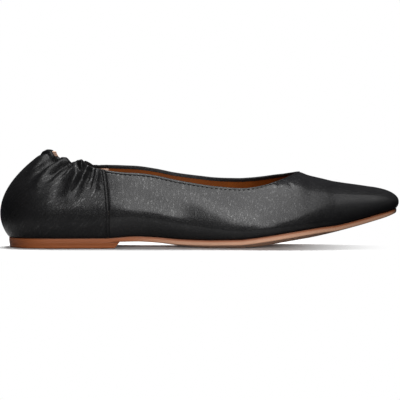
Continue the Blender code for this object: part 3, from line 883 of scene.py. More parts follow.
def skin(name, loops, material, attributes=None):
    """A closed mesh through loops of equally many points: one loop for each place round the shoe."""
    count, size = loops.shape[:2]
    index = np.arange(count * size).reshape(count, size)
    here, ahead = index[:-1], index[1:]
    quads = np.stack([here, ahead, np.roll(ahead, -1, axis=1), np.roll(here, -1, axis=1)], axis=-1)
    faces = quads.reshape(-1, 4).tolist()
    faces += [index[0].tolist(), index[-1][::-1].tolist()]
    made = new_piece(name, loops, faces, material)
    for label, values in (attributes or {}).items():
        kind = "FLOAT_VECTOR" if values.ndim == 3 else "FLOAT"
        layer = made.data.attributes.new(label, kind, "POINT")
        slot = "vector" if kind == "FLOAT_VECTOR" else "value"
        layer.data.foreach_set(slot, values.astype(np.float32).ravel())
    made.data.set_sharp_from_angle(angle=SKIN_SHARP)
    low, high = loops.reshape(-1, 3).min(0), loops.reshape(-1, 3).max(0)
    print(name, "faces", len(faces), "from", np.round(low / MM, 1), "to", np.round(high / MM, 1))
    return made


# %% [markdown]
# ## Leather, as node groups
# Three effects come back in every leather here, so each is a group with named sockets.
# `pebble_grain` is the skin's own grain, small cushions with soft valleys between them.
# `drawn_wrinkles` are the fine lines that lasting pulls into the leather, stretched along one
# direction. `uneven_finish` is the slow change in colour and gloss over a hide. A scanned picture
# of leather could be used instead, but nodes stay sharp at any distance and follow the surface.

# %% Group: pebble grain
# How strongly and how finely the cells are bent out of line, how wide a valley is as a share of a
# cell, and the pores: how many a metre, and how high beside a cushion.
CELL_BEND = 0.0009
CELL_BENDS = 420.0
VALLEY_WIDTH = 0.30
PORES = 2600.0
PORE_HEIGHT = 0.45

grain, given, result = new_group(
    "pebble_grain",
    [("Place", "NodeSocketVector", (0, 0, 0)), ("Cells", "NodeSocketFloat", 1200.0)],
    [("Height", "NodeSocketFloat")],
)
bend = add_node(
    grain, "ShaderNodeTexNoise", {"Vector": given.outputs["Place"], "Scale": CELL_BENDS}
)
pushed = add_node(
    grain,
    "ShaderNodeVectorMath",
    {0: bend.outputs["Color"], 1: (CELL_BEND,) * 3, 2: given.outputs["Place"]},
    operation="MULTIPLY_ADD",
)
cells = add_node(
    grain,
    "ShaderNodeTexVoronoi",
    {"Vector": pushed.outputs["Vector"], "Scale": given.outputs["Cells"], "Randomness": 0.9},
    feature="DISTANCE_TO_EDGE",
)
cushions = ranged(grain, cells.outputs["Distance"], 0.0, VALLEY_WIDTH)
pores = noise(grain, given.outputs["Place"], PORES, Detail=2.0, Roughness=0.6)
summed = math_of(grain, "MULTIPLY_ADD", pores, PORE_HEIGHT, cushions)
grain.links.new(summed, result.inputs["Height"])
print("grain sockets", [socket.name for socket in grain.interface.items_tree])

# %% Group: drawn wrinkles
# A wrinkle lies wherever the noise crosses its middle. LINE_WIDTH is how far either side it reaches.
LINE_WIDTH = 0.16
LINE_BEND = 0.35

wrinkles, given, result = new_group(
    "drawn_wrinkles",
    [
        ("Place", "NodeSocketVector", (0, 0, 0)),
        ("Stretch", "NodeSocketVector", (1, 1, 1)),
        ("Lines", "NodeSocketFloat", 600.0),
    ],
    [("Height", "NodeSocketFloat")],
)
drawn = add_node(
    wrinkles,
    "ShaderNodeVectorMath",
    {0: given.outputs["Place"], 1: given.outputs["Stretch"]},
    operation="MULTIPLY",
)
lines = noise(
    wrinkles, drawn.outputs["Vector"], given.outputs["Lines"],
    Detail=3.0, Roughness=0.62, Distortion=LINE_BEND,
)
folded = math_of(wrinkles, "ABSOLUTE", math_of(wrinkles, "SUBTRACT", lines, 0.5))
wrinkles.links.new(ranged(wrinkles, folded, 0.0, LINE_WIDTH), result.inputs["Height"])
print("wrinkle sockets", [socket.name for socket in wrinkles.interface.items_tree])

# %% Group: uneven finish
# Broad noise seldom reaches 0 or 1, so the part of it that it does reach is spread out.
NOISE_LOW = 0.32
NOISE_HIGH = 0.68

finish_group, given, result = new_group(
    "uneven_finish",
    [
        ("Place", "NodeSocketVector", (0, 0, 0)),
        ("Low Colour", "NodeSocketColor", (0, 0, 0, 1)),
        ("High Colour", "NodeSocketColor", (1, 1, 1, 1)),
        ("Low Roughness", "NodeSocketFloat", 0.4),
        ("High Roughness", "NodeSocketFloat", 0.5),
        ("Patches", "NodeSocketFloat", 60.0),
    ],
    [("Colour", "NodeSocketColor"), ("Roughness", "NodeSocketFloat")],
)
place, low_colour, high_colour, low_roughness, high_roughness, patches, _ = given.outputs
broad = noise(finish_group, place, patches, Detail=5.0, Roughness=0.65)
spread = ranged(finish_group, broad, NOISE_LOW, NOISE_HIGH, curve="LINEAR")
shade = mixed_colour(finish_group, spread, low_colour, high_colour)
gloss = ranged(finish_group, spread, 0.0, 1.0, low_roughness, high_roughness, "LINEAR")
finish_group.links.new(shade, result.inputs["Colour"])
finish_group.links.new(gloss, result.inputs["Roughness"])
print("groups", [group.name for group in bpy.data.node_groups])


# %% [markdown]
# ## Leathers
# All the leathers share one recipe with their own values: an uneven finish for colour and gloss,
# and grain and wrinkles added up as one height for a Bump node. The black leather of the upper is
# a smooth, lightly milled hide with a satin finish: a clear coat that is thick on the cushions of the
# grain and thin in its valleys. The leather that is turned over at the topline doesn't shine, so the
# coat stops there. The linings are thin, dull and warm.


# %% Recipe for a leather
# Heights of grain and wrinkles multiplied, at which the coat is thinnest and thickest.
COAT_VALLEY = 0.15
COAT_CUSHION = 1.15


def leather(name, low, high, roughness, cells, grain_depth, lines, line_depth, level,
            stretch=(1.0, 1.0, 0.3), place_attribute=None, polish=None):
    """A leather: colours low and high, (low, high) roughness, grain cells and wrinkle lines per
    metre, depths in mm, and the specular level. stretch: how the wrinkles' pattern is scaled along
    each axis. place_attribute: the attribute that holds their places, or else the object's own
    coordinates. polish: coat weight in the valleys and on the cushions, and the coat's roughness."""
    made, tree, shader = new_material(name)
    coordinates = add_node(tree, "ShaderNodeTexCoord").outputs["Object"]
    finish = add_node(tree, "ShaderNodeGroup", node_tree=finish_group)
    tree.links.new(coordinates, finish.inputs["Place"])
    finish.inputs["Low Colour"].default_value = (*low, 1.0)
    finish.inputs["High Colour"].default_value = (*high, 1.0)
    finish.inputs["Low Roughness"].default_value = roughness[0]
    finish.inputs["High Roughness"].default_value = roughness[1]
    pebbles = add_node(tree, "ShaderNodeGroup", node_tree=grain)
    tree.links.new(coordinates, pebbles.inputs["Place"])
    pebbles.inputs["Cells"].default_value = cells
    drawn = add_node(tree, "ShaderNodeGroup", node_tree=wrinkles)
    drawn.inputs["Stretch"].default_value = stretch
    drawn.inputs["Lines"].default_value = lines
    if place_attribute:
        own = add_node(tree, "ShaderNodeAttribute", attribute_name=place_attribute)
        tree.links.new(own.outputs["Vector"], drawn.inputs["Place"])
    else:
        tree.links.new(coordinates, drawn.inputs["Place"])
    drawn_height = drawn.outputs["Height"]
    pebble_height = pebbles.outputs["Height"]
    heights = math_of(
        tree, "MULTIPLY_ADD", drawn_height, line_depth / grain_depth, pebble_height
    )
    bump = add_node(tree, "ShaderNodeBump", {"Height": heights, "Distance": grain_depth * MM})
    tree.links.new(bump.outputs["Normal"], shader.inputs["Normal"])
    tree.links.new(finish.outputs["Colour"], shader.inputs["Base Color"])
    tree.links.new(finish.outputs["Roughness"], shader.inputs["Roughness"])
    shader.inputs["Specular IOR Level"].default_value = level
    if polish:
        raised = math_of(tree, "MULTIPLY", drawn_height, pebble_height)
        weight = ranged(tree, raised, COAT_VALLEY, COAT_CUSHION, polish[0], polish[1], "LINEAR")
        # The attribute turned_edge is 1 from the top of the rim inwards, where there is no coat.
        turned = add_node(tree, "ShaderNodeAttribute", attribute_name="turned_edge")
        brushed = math_of(tree, "SUBTRACT", 1.0, turned.outputs["Fac"])
        coated = math_of(tree, "MULTIPLY", weight, brushed)
        tree.links.new(coated, shader.inputs["Coat Weight"])
        shader.inputs["Coat Roughness"].default_value = polish[2]
    return made


# %% The black leathers
black_front = leather(
    "black_leather_front", low=(0.0052, 0.0052, 0.0055), high=(0.0080, 0.0078, 0.0082),
    roughness=(0.30, 0.38), cells=760.0, grain_depth=0.045, lines=620.0, line_depth=0.075, level=0.12,
    stretch=(1.0, 1.0, 0.34), polish=(0.40, 1.0, 0.14),
)
black_heel = leather(
    "black_leather_heel", low=(0.0048, 0.0048, 0.0051), high=(0.0076, 0.0074, 0.0077),
    roughness=(0.28, 0.36), cells=760.0, grain_depth=0.055, lines=620.0, line_depth=0.150, level=0.12,
    stretch=(1.0, 0.25, 1.0), place_attribute="gather_place", polish=(0.15, 0.95, 0.16),
)

# %% The linings' leathers and the insole's
caramel_lining = leather(
    "caramel_lining_leather", low=(0.098, 0.0245, 0.0026), high=(0.139, 0.037, 0.0043),
    roughness=(0.60, 0.74), cells=1900.0, grain_depth=0.030, lines=420.0, line_depth=0.03, level=0.09,
)
beige_lining = leather(
    "beige_lining_leather", low=(0.42, 0.29, 0.215), high=(0.55, 0.385, 0.29),
    roughness=(0.62, 0.76), cells=1900.0, grain_depth=0.030, lines=420.0, line_depth=0.04, level=0.3,
)
insole_leather = leather(
    "caramel_insole_leather", low=(0.165, 0.047, 0.0085), high=(0.225, 0.070, 0.0140),
    roughness=(0.50, 0.66), cells=1500.0, grain_depth=0.030, lines=240.0, line_depth=0.02, level=0.4,
)
print("leathers", [m.name for m in bpy.data.materials if "leather" in m.name])

# %% Waxed thread
THREAD_DARK = (0.004, 0.004, 0.0045, 1.0)
THREAD_LIGHT = (0.012, 0.012, 0.013, 1.0)
STRANDS = 3500.0
STRAND_DEPTH = 0.05 * MM

thread_black, tree, shader = new_material("black_waxed_thread")
coordinates = add_node(tree, "ShaderNodeTexCoord").outputs["Object"]
strands = noise(tree, coordinates, STRANDS, Detail=2.0)
tone = mixed_colour(tree, strands, THREAD_DARK, THREAD_LIGHT)
tree.links.new(tone, shader.inputs["Base Color"])
twist = add_node(tree, "ShaderNodeBump", {"Height": strands, "Distance": STRAND_DEPTH})
tree.links.new(twist.outputs["Normal"], shader.inputs["Normal"])
shader.inputs["Roughness"].default_value = 0.7
shader.inputs["Specular IOR Level"].default_value = 0.12
print("thread", thread_black.name)

# %% [markdown]
# ## The upper's panels
# A panel is a strip of leather about a millimetre thick. Its lower edge is turned in under the
# foot, its upper edge is folded over a cord and stitched down inside, which gives the topline its
# round rim and the black band above the lining. So each place round the shoe gets one closed
# section: up the outside, over the rim, down the turned edge and back down the hidden side. One
# skin through all the sections is the panel, with no loose faces anywhere.

# %% Sections of a panel
LEATHER = 1.0 * MM
RIM_POINTS = 11
STITCH_DOWN = 1.75 * MM
GROOVE_WIDTH = 0.32 * MM
# Rows of the outer face below the rim, close together where the stitches draw it in.
FINE_TOP = MM * np.array(
    [0.0, 0.15, 0.30, 0.45, 0.60, 0.72, 0.84, 0.96, 1.10, 1.30, 1.55, 1.90, 2.35, 2.9, 3.5]
)
# Rows of the outer face above the sole, and how far each is turned in there.
FOOT_UP = MM * np.array([0.0, 0.25, 0.55, 0.95, 1.50, 2.20])
FOOT_IN = MM * np.array([0.55, 0.30, 0.14, 0.05, 0.01, 0.0])
OUTER_ROWS = 88
BAND_ROWS = 6
HIDDEN_ROWS = 14
# The elastic's casing: where it swells most below the rim, how wide it is, and where and how much
# the leather is pulled in under it.
ROLL_AT = 0.4 * MM
ROLL_WIDTH = 1.2 * MM
ROLL_UNDER = 4.0 * MM
ROLL_PULL = 0.9
# The rim points the way that this much of the leather below it does.
RIM_FOLLOWS = 1.5 * MM
# How far the gathers' wrinkles slant back for each metre down from the topline.
GATHER_SLANT = 0.55


def panel_loops(sheet, lift, rim, turn, groove, edge_dip, roll):
    """Closed sections of a panel. lift: how far the outer face stands out. rim: radius of the folded
    edge. turn: width of the band inside. groove: depth of the stitch groove. edge_dip: how far the
    outer face drops. roll: how far it swells below the rim. All are per place round the shoe."""
    length = sheet["lengths"][:, None]
    tangent_up = 1 - rim[:, None] / length
    from_foot = np.broadcast_to(FOOT_UP / length, (len(length), len(FOOT_UP)))
    top_start = tangent_up - FINE_TOP[-1] / length
    middle = np.linspace(0, 1, OUTER_ROWS)[1:-1]
    between = from_foot[:, -1:] + (top_start - from_foot[:, -1:]) * middle
    near_top = tangent_up - FINE_TOP[::-1] / length
    up = np.concatenate([from_foot, between, near_top], axis=1)
    down_from_top = (1 - up) * length
    offset = np.broadcast_to(lift[:, None] - edge_dip[:, None], up.shape).copy()
    offset[:, : len(FOOT_IN)] -= FOOT_IN
    offset -= groove[:, None] * np.exp(-(((down_from_top - STITCH_DOWN) / GROOVE_WIDTH) ** 2))
    under = np.exp(-(((down_from_top - ROLL_UNDER) / ROLL_WIDTH) ** 2))
    swell = np.exp(-(((down_from_top - ROLL_AT - rim[:, None]) / ROLL_WIDTH) ** 2))
    offset += roll[:, None] * (swell - ROLL_PULL * under) * eased(down_from_top / rim[:, None])
    outer = on_wall(sheet, up, offset)

    normal = along_rib(sheet["normals"], tangent_up)[:, 0]
    high = along_rib(sheet["points"], np.ones_like(tangent_up))[:, 0]
    low = along_rib(sheet["points"], tangent_up - RIM_FOLLOWS / length)[:, 0]
    tangent = high - low
    tangent -= normal * np.sum(tangent * normal, axis=1)[:, None]
    tangent /= np.linalg.norm(tangent, axis=1)[:, None]
    centre = on_wall(sheet, tangent_up, (lift - edge_dip - rim)[:, None])[:, 0]
    angles = np.linspace(0, math.pi, RIM_POINTS + 2)[1:-1]
    rim_points = np.stack(
        [centre + rim[:, None] * (math.cos(a) * normal + math.sin(a) * tangent) for a in angles],
        axis=1,
    )
    inner = lift - edge_dip - 2 * rim
    band = np.linspace(0, 1, BAND_ROWS)
    band_up = tangent_up - turn[:, None] / length * band
    band_points = on_wall(sheet, band_up, np.broadcast_to(inner[:, None], band_up.shape))
    hidden_top = band_up[:, -1:]
    hidden_up = hidden_top * np.linspace(1, 0, HIDDEN_ROWS)
    hidden = np.broadcast_to((lift - edge_dip - LEATHER)[:, None], hidden_up.shape)
    hidden_points = on_wall(sheet, hidden_up, hidden)
    loops = np.concatenate([outer, rim_points, band_points, hidden_points], axis=1)
    slanted = sheet["shares"][:, None] * HALF_LENGTH + GATHER_SLANT * down_from_top
    place = np.stack([slanted, up * length, np.zeros_like(up)], axis=-1)
    rest = loops.shape[1] - up.shape[1]
    place = np.concatenate([place, np.repeat(place[:, -1:], rest, axis=1)], axis=1)
    turned = np.zeros(loops.shape[:2])
    turned[:, up.shape[1] + RIM_POINTS // 2 :] = 1.0
    return loops, {"gather_place": place, "turned_edge": turned}


# %% [markdown]
# ## Front panel
# Vamp and quarters are one piece of smooth black leather from side seam to side seam, lasted tight
# over the square toe. The topline is stitched a little below its rim, so the leather is drawn in
# along that line.

# %% The front panel
SEAM_GAP = 0.01 * MM
TURNED = 1.5 * MM
FRONT_STEP = 0.80 * MM
TOPLINE_GROOVE = 0.16 * MM
# The front panel drops away under the heel panel's edge, by this depth over this distance.
FRONT_DIP = 0.35 * MM
FRONT_DIP_OVER = 0.30 * MM
NEAR_SEAM = MM * np.array([0.10, 0.22, 0.38, 0.60, 0.90, 1.30])

seam_gap_share = SEAM_GAP / HALF_LENGTH
front_around = places(
    SEAM + seam_gap_share, 2 - SEAM - seam_gap_share, FRONT_STEP, (SEAM, 2 - SEAM), NEAR_SEAM
)
front = wall_sheet(front_around)
front_ones = np.ones(len(front_around))
front_rim = WALL / 2 * front_ones
front_band = TURNED * front_ones
from_seam = (front["shares"] - SEAM) * HALF_LENGTH
front_loops, front_places = panel_loops(
    front, lift=0 * front_ones, rim=front_rim, turn=front_band, groove=TOPLINE_GROOVE * front_ones,
    edge_dip=FRONT_DIP * np.exp(-from_seam / FRONT_DIP_OVER), roll=0 * front_ones,
)
front_panel = skin("front_panel", front_loops, black_front, front_places)
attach(front_panel, "root")
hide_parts("upper")

# %% [markdown]
# ## Heel panel
# The piece behind the seams is the same leather, gathered by the elastic in its collar. It laps
# over the front panel's ends, so it stands a little proud there, with a row of stitches two
# millimetres behind its edge. At the centre of the back the collar rolls up into a small lump.

# %% The heel panel
HEEL_STEP = 0.55 * MM
SEAM_ROW = 2.0 * MM
# The places round the shoe are closer together within this share of the seam's row of stitches.
ROW_REACH = 0.003
ROW_STEP = 0.12 * MM
# How deep and how wide: the rounding of the panel's edge, and the groove of the stitches.
EDGE_ROUND = 0.42 * MM
EDGE_ROUND_OVER = 0.45 * MM
SEAM_GROOVE = 0.30 * MM
SEAM_GROOVE_WIDTH = 0.30 * MM
# share: of the half outline. rim: radius of the rolled edge in mm. band: width of the turned edge in
# mm. roll: how far the elastic's casing stands out below the rim, in mm. peek_outer, peek_inner: how
# far the lining's edge rises above the wall's top on either side, in mm.
COLLAR = np.array(
    [
        (0.000, 1.45, 0.50, 0.55, 0.0, 0.0),
        (0.030, 1.45, 0.50, 0.55, 0.0, 0.6),
        (0.046, 1.40, 0.40, 0.40, 0.0, 1.7),
        (0.060, 1.20, 0.35, 0.30, 0.0, 1.6),
        (0.078, 1.15, 0.35, 0.30, 0.0, 0.3),
        (0.100, 1.15, 0.40, 0.30, 0.0, 0.0),
        (0.140, 1.20, 0.60, 0.30, 0.0, 0.0),
        (0.200, 1.20, 1.00, 0.25, 0.0, 0.0),
        (0.258, 1.05, 1.10, 0.05, 0.0, 0.0),
        (0.264, 1.00, 1.15, 0.00, 0.4, 0.0),
        (0.278, 0.95, 1.20, 0.00, 0.4, 0.0),
        (0.284, 0.95, 1.50, 0.00, 0.1, 0.0),
    ]
)
heel_around = places(-SEAM, SEAM, HEEL_STEP, (-SEAM, SEAM), NEAR_SEAM)
row_place = SEAM - SEAM_ROW / HALF_LENGTH
near_rows = [places(row - ROW_REACH, row + ROW_REACH, ROW_STEP) for row in (-row_place, row_place)]
heel_around = np.unique(np.concatenate([heel_around, *near_rows]))
heel = wall_sheet(heel_around)
heel_ones = np.ones(len(heel_around))
to_seam = (SEAM - heel["shares"]) * HALF_LENGTH
edge_round = EDGE_ROUND * np.exp(-((to_seam / EDGE_ROUND_OVER) ** 2))
seam_groove = SEAM_GROOVE * np.exp(-(((to_seam - SEAM_ROW) / SEAM_GROOVE_WIDTH) ** 2))
heel_rim = read(COLLAR, 1, heel["shares"]) * MM
heel_band = read(COLLAR, 2, heel["shares"]) * MM
heel_roll = read(COLLAR, 3, heel["shares"]) * MM
heel_loops, heel_places = panel_loops(
    heel, lift=LAP * heel_ones, rim=heel_rim, turn=heel_band, groove=0 * heel_ones,
    edge_dip=edge_round + seam_groove, roll=heel_roll,
)
heel_panel = skin("heel_panel", heel_loops, black_heel, heel_places)
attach(heel_panel, "root")
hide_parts("upper")

# %% [markdown]
# ## Linings
# Thin lining leather backs each panel: warm caramel along the quarters and the vamp, pale beige
# round the heel. Each is a thin closed sheet that starts just under the turned edge and ends at the
# insole. At the back of the collar and beside the outer seam it shows a little above the edge.

# %% The linings
LINING_OUT = 1.06 * MM
LINING_IN = 1.62 * MM
LINING_ROWS = 40
PEEK_ROWS = 4
# Where the lining shows by PEEK_FULL or more it runs up behind the rim, PEEK_BEHIND further in. It
# leaves the wall there over the last part of its height, from PEEK_FROM on.
PEEK_FULL = 0.5 * MM
PEEK_BEHIND = 0.1 * MM
PEEK_FROM = 0.75
PEEK_OVER = 0.2
UNDER_BAND = 0.05 * MM
LINING_FOOT = 0.012


def lining_loops(sheet, lift, rim, band, peek):
    """Closed sections of a lining, from the sole to just under the turned edge. Where peek isn't 0
    the lining passes behind the rim and shows that far above the wall's top."""
    length = sheet["lengths"][:, None]
    shows = eased(peek / PEEK_FULL)[:, None]
    top = 1 - (rim + band + UNDER_BAND)[:, None] / length * (1 - shows)
    up = top * np.linspace(LINING_FOOT, 1, LINING_ROWS)
    near_top = shows * eased((np.linspace(0, 1, LINING_ROWS) - PEEK_FROM) / PEEK_OVER)
    behind = (lift - 2 * rim)[:, None] - PEEK_BEHIND
    hidden = (lift - LINING_OUT)[:, None] * (1 - near_top) + behind * near_top
    shown = hidden - (LINING_IN - LINING_OUT)
    outer = on_wall(sheet, up, hidden)
    inner = on_wall(sheet, up, shown)
    rise = outer[:, -1] - outer[:, -2]
    rise /= np.linalg.norm(rise, axis=1)[:, None]
    for part in np.linspace(0.2, 1, PEEK_ROWS):
        step = rise * (peek * part)[:, None]
        outer = np.concatenate([outer, (outer[:, LINING_ROWS - 1] + step)[:, None]], axis=1)
        inner = np.concatenate([inner, (inner[:, LINING_ROWS - 1] + step)[:, None]], axis=1)
    return np.concatenate([outer, inner[:, ::-1]], axis=1)


front_lining = skin(
    "front_lining",
    lining_loops(front, 0 * front_ones, front_rim, front_band, 0 * front_ones),
    caramel_lining,
)
peek_outer, peek_inner = (read(COLLAR, column, heel["shares"]) for column in (4, 5))
heel_peek = np.where(heel["outer"], peek_outer, peek_inner) * MM
heel_lining = skin(
    "heel_lining",
    lining_loops(heel, LAP * heel_ones, heel_rim, heel_band, heel_peek),
    beige_lining,
)
for lining in (front_lining, heel_lining):
    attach(lining, "root")
    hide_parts("upper")


# %% [markdown]
# ## Stitches
# A sewn row is a line of short waxed threads that dip into the leather at both ends. A curve with a
# bevel could stand for it, but single stitches catch the light one by one, so each is its own small
# spindle, and a row of them is joined into one piece.


# %% Rows of stitches
STITCH = 2.0 * MM
STITCH_GAP = 0.95 * MM
THREAD = 0.25 * MM
STITCH_RINGS = 9
THREAD_SIDES = 8
# A stitch arches from one thread below the leather to THREAD_ARCH - 1 above it. Its ends are blunt,
# because the spindle is cut off at END_CUT of its length on either side.
THREAD_ARCH = 1.7
ARCH_POWER = 0.7
END_CUT = 0.06
SPINDLE_POWER = 0.45


def stitch_row(name, line, outward):
    """One mesh of spindles along a line of points, each lying on the leather."""
    steps = np.linalg.norm(np.diff(line, axis=0), axis=1)
    along = np.concatenate([[0.0], np.cumsum(steps)])
    count = int(along[-1] / (STITCH + STITCH_GAP))
    starts = np.arange(count) * along[-1] / count + STITCH_GAP / 2
    t = np.linspace(0, 1, STITCH_RINGS)
    at = starts[:, None] + STITCH * t[None, :]
    middle = np.stack([np.interp(at, along, line[:, k]) for k in range(3)], axis=-1)
    lift = np.stack([np.interp(at, along, outward[:, k]) for k in range(3)], axis=-1)
    lift /= np.linalg.norm(lift, axis=-1)[..., None]
    ahead = np.gradient(middle, axis=1)
    ahead /= np.linalg.norm(ahead, axis=-1)[..., None]
    across = np.cross(ahead, lift)
    rise = THREAD * (THREAD_ARCH * np.sin(math.pi * t) ** ARCH_POWER - 1.0)
    along_spindle = END_CUT + (1 - 2 * END_CUT) * t
    wide = THREAD * np.clip(np.sin(math.pi * along_spindle), 0, 1) ** SPINDLE_POWER
    middle = middle + lift * rise[None, :, None]
    angles = np.linspace(0, 2 * math.pi, THREAD_SIDES, endpoint=False)
    rings = np.stack(
        [middle + wide[None, :, None] * (math.cos(a) * across + math.sin(a) * lift) for a in angles],
        axis=2,
    )
    index = np.arange(STITCH_RINGS * THREAD_SIDES).reshape(STITCH_RINGS, THREAD_SIDES)
    beside = np.roll(index, -1, axis=1)
    quads = np.stack([index[:-1], beside[:-1], beside[1:], index[1:]], axis=-1).reshape(-1, 4)
    faces = []
    for i in range(count):
        base = i * index.size
        faces += (quads + base).tolist()
        faces += [(index[0][::-1] + base).tolist(), (index[-1] + base).tolist()]
    made = new_piece(name, rings, faces, thread_black)
    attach(made, "root")
    print(name, count, "stitches")


# %% The topline's stitches and the seams'
# How deep the middle of each thread lies in its groove.
TOPLINE_SUNK = 0.10 * MM
SEAM_SUNK = 0.18 * MM
# A seam's row starts this far above the sole and ends this far below the collar's edge.
SEAM_ROW_FOOT = 1.2 * MM
SEAM_ROW_TOP = 2.0 * MM
SEAM_ROW_POINTS = 160

stitch_up = 1 - STITCH_DOWN / front["lengths"][:, None]
stitch_line = on_wall(front, stitch_up, np.full_like(stitch_up, -TOPLINE_SUNK))[:, 0]
stitch_out = along_rib(front["normals"], stitch_up)[:, 0]
stitch_row("topline_stitches", stitch_line, stitch_out)

for label, place in (("outer_seam_stitches", row_place), ("inner_seam_stitches", -row_place)):
    column = int(np.argmin(np.abs(heel_around - place)))
    length = heel["lengths"][column]
    up = np.linspace(SEAM_ROW_FOOT / length, 1 - SEAM_ROW_TOP / length, SEAM_ROW_POINTS)[None, :]
    one_column = {key: value[column : column + 1] for key, value in heel.items()}
    seam_line = on_wall(one_column, up, np.full_like(up, LAP - SEAM_SUNK))[0]
    seam_out = along_rib(one_column["normals"], up)[0]
    stitch_row(label, seam_line, seam_out)

# %% [markdown]
# ## Sole leather
# The outsole is thick vegetable tanned leather, cut, sanded and waxed round its edge. At the heel
# the edge is stained a darker tan to match the heel block, further forward it is left paler, and it
# takes up more of that dye where it meets the upper. Painted shade darkens it there too and in the
# groove underneath, and painted light brightens its lower edge. The block is a stack of the same
# leather. Fine lines run along the edges, where the layers of fibre were cut.

# %% Group: cut leather edge
# The fibres lie flat: their noise is stretched along and across the shoe, where places count only
# this share.
FIBRE_SQUEEZE = 0.06
PITS = 1700.0
PIT_HEIGHT = 0.5

cut_edge, given, result = new_group(
    "cut_leather_edge",
    [("Place", "NodeSocketVector", (0, 0, 0)), ("Layers", "NodeSocketFloat", 1400.0)],
    [("Height", "NodeSocketFloat"), ("Streaks", "NodeSocketFloat")],
)
flattened = add_node(
    cut_edge,
    "ShaderNodeVectorMath",
    {0: given.outputs["Place"], 1: (FIBRE_SQUEEZE, FIBRE_SQUEEZE, 1.0)},
    operation="MULTIPLY",
)
fibres = noise(
    cut_edge, flattened.outputs["Vector"], given.outputs["Layers"], Detail=4.0, Roughness=0.7
)
pits = noise(cut_edge, given.outputs["Place"], PITS, Detail=3.0, Roughness=0.7)
rough_edge = math_of(cut_edge, "MULTIPLY_ADD", pits, PIT_HEIGHT, fibres)
cut_edge.links.new(rough_edge, result.inputs["Height"])
cut_edge.links.new(fibres, result.inputs["Streaks"])
print("cut edge sockets", [socket.name for socket in cut_edge.interface.items_tree])

# %% Recipe for sole leather
# The part of the streaks' noise that makes the colour darker, and the part that makes it rougher.
STREAK_TONES = (0.35, 0.65)
STREAK_GLOSS = (0.3, 0.7)
EDGE_ROUGHNESS = (0.46, 0.62)


def sole_leather(name, dark, pale, streak, pale_from, pale_to, depth):
    """Cut leather that turns from dark to pale along the shoe, with darker streaks and painted light
    and shade.
    streak: how dark the streaks are. pale_from, pale_to: along X. depth: of the cut face, in mm."""
    made, tree, shader = new_material(name)
    coordinates = add_node(tree, "ShaderNodeTexCoord").outputs["Object"]
    parts = add_node(tree, "ShaderNodeSeparateXYZ", {0: coordinates})
    forward = ranged(tree, parts.outputs["X"], pale_from, pale_to)
    colour = mixed_colour(tree, forward, (*dark, 1.0), (*pale, 1.0))
    edge = add_node(tree, "ShaderNodeGroup", node_tree=cut_edge)
    tree.links.new(coordinates, edge.inputs["Place"])
    deep = ranged(tree, edge.outputs["Streaks"], *STREAK_TONES, streak, 1.0, "LINEAR")
    stain = add_node(tree, "ShaderNodeAttribute", attribute_name="edge_stain")
    stained = mixed_colour(tree, stain.outputs["Fac"], colour, (*dark, 1.0))
    # The attribute read here is painted light and shade, one brightness per ring, which darkens or
    # lightens the colour along with the streaks.
    painted_light_attribute = add_node(tree, "ShaderNodeAttribute", attribute_name="painted_light_and_shade")
    darker = math_of(tree, "MULTIPLY", deep, painted_light_attribute.outputs["Fac"])
    streaked = add_node(
        tree, "ShaderNodeVectorMath", {0: stained, "Scale": darker}, operation="SCALE"
    )
    tree.links.new(streaked.outputs["Vector"], shader.inputs["Base Color"])
    gloss = ranged(tree, edge.outputs["Streaks"], *STREAK_GLOSS, *EDGE_ROUGHNESS, "LINEAR")
    tree.links.new(gloss, shader.inputs["Roughness"])
    bump = add_node(
        tree, "ShaderNodeBump", {"Height": edge.outputs["Height"], "Distance": depth * MM}
    )
    tree.links.new(bump.outputs["Normal"], shader.inputs["Normal"])
    shader.inputs["Specular IOR Level"].default_value = 0.4
    return made


STAINED_TAN = (0.235, 0.063, 0.014)
PALE_TAN = (0.43, 0.240, 0.155)
# From the back of the heel, where the sole's edge starts to turn pale and where it has.
PALE_FROM = 0.072
PALE_TO = 0.125
tan_sole = sole_leather(
    "tan_sole_leather_waxed", dark=STAINED_TAN, pale=PALE_TAN, streak=0.90,
    pale_from=PALE_FROM - HEEL_CENTRE, pale_to=PALE_TO - HEEL_CENTRE, depth=0.05,
)
tan_heel = sole_leather(
    "tan_heel_leather_waxed", dark=STAINED_TAN, pale=STAINED_TAN, streak=0.88,
    pale_from=0.0, pale_to=1.0, depth=0.06,
)
print("sole leathers", tan_sole.name, tan_heel.name)

# %% [markdown]
# ## Outsole
# The outsole is one thick sheet that follows the foot: its edge stands a little above its middle
# under the ball, its waist rises from the floor and its toe springs up. It is built from rings, as
# the solid is, with a rounded edge and a shallow groove underneath where a sole is sewn to the upper
# and closed again.

# %% Plan and rings of the sole
SOLE_COLUMNS = 260
CHANNEL_DEPTH = 0.25 * MM
MERGE_WITHIN = 2e-6
SHORTEST_EDGE = 1e-6


def sole_plan(inset):
    """The sole's outline drawn in by inset, and for each point its place on the middle line."""
    shares = np.linspace(0, 1, SOLE_COLUMNS + 1)
    outer, out_outward = outline_at(shares, -1)
    inner, in_outward = outline_at(shares, 1)
    outer = outer - out_outward * inset
    inner = inner - in_outward * inset
    middle = (outer + inner) / 2
    x = np.clip(middle[:, 0], HEEL_BULGE + HEEL_ROUND, LENGTH - TOE_BULGE - NOSE)
    middle = np.column_stack([x, np.interp(x, middle[:, 0], middle[:, 1])])
    edge = np.concatenate([outer, inner[-2:0:-1]])
    return edge, np.concatenate([middle, middle[-2:0:-1]])


def dished(x, share):
    """Height of the sole's underside, which rises from its flat middle to its edge."""
    rise = np.clip((share - FLAT_MIDDLE) / (1 - FLAT_MIDDLE), 0, 1)
    return underside(x) + crown(x) * rise**2


WHOLE_EDGE, WHOLE_SPINE = sole_plan(0.0)


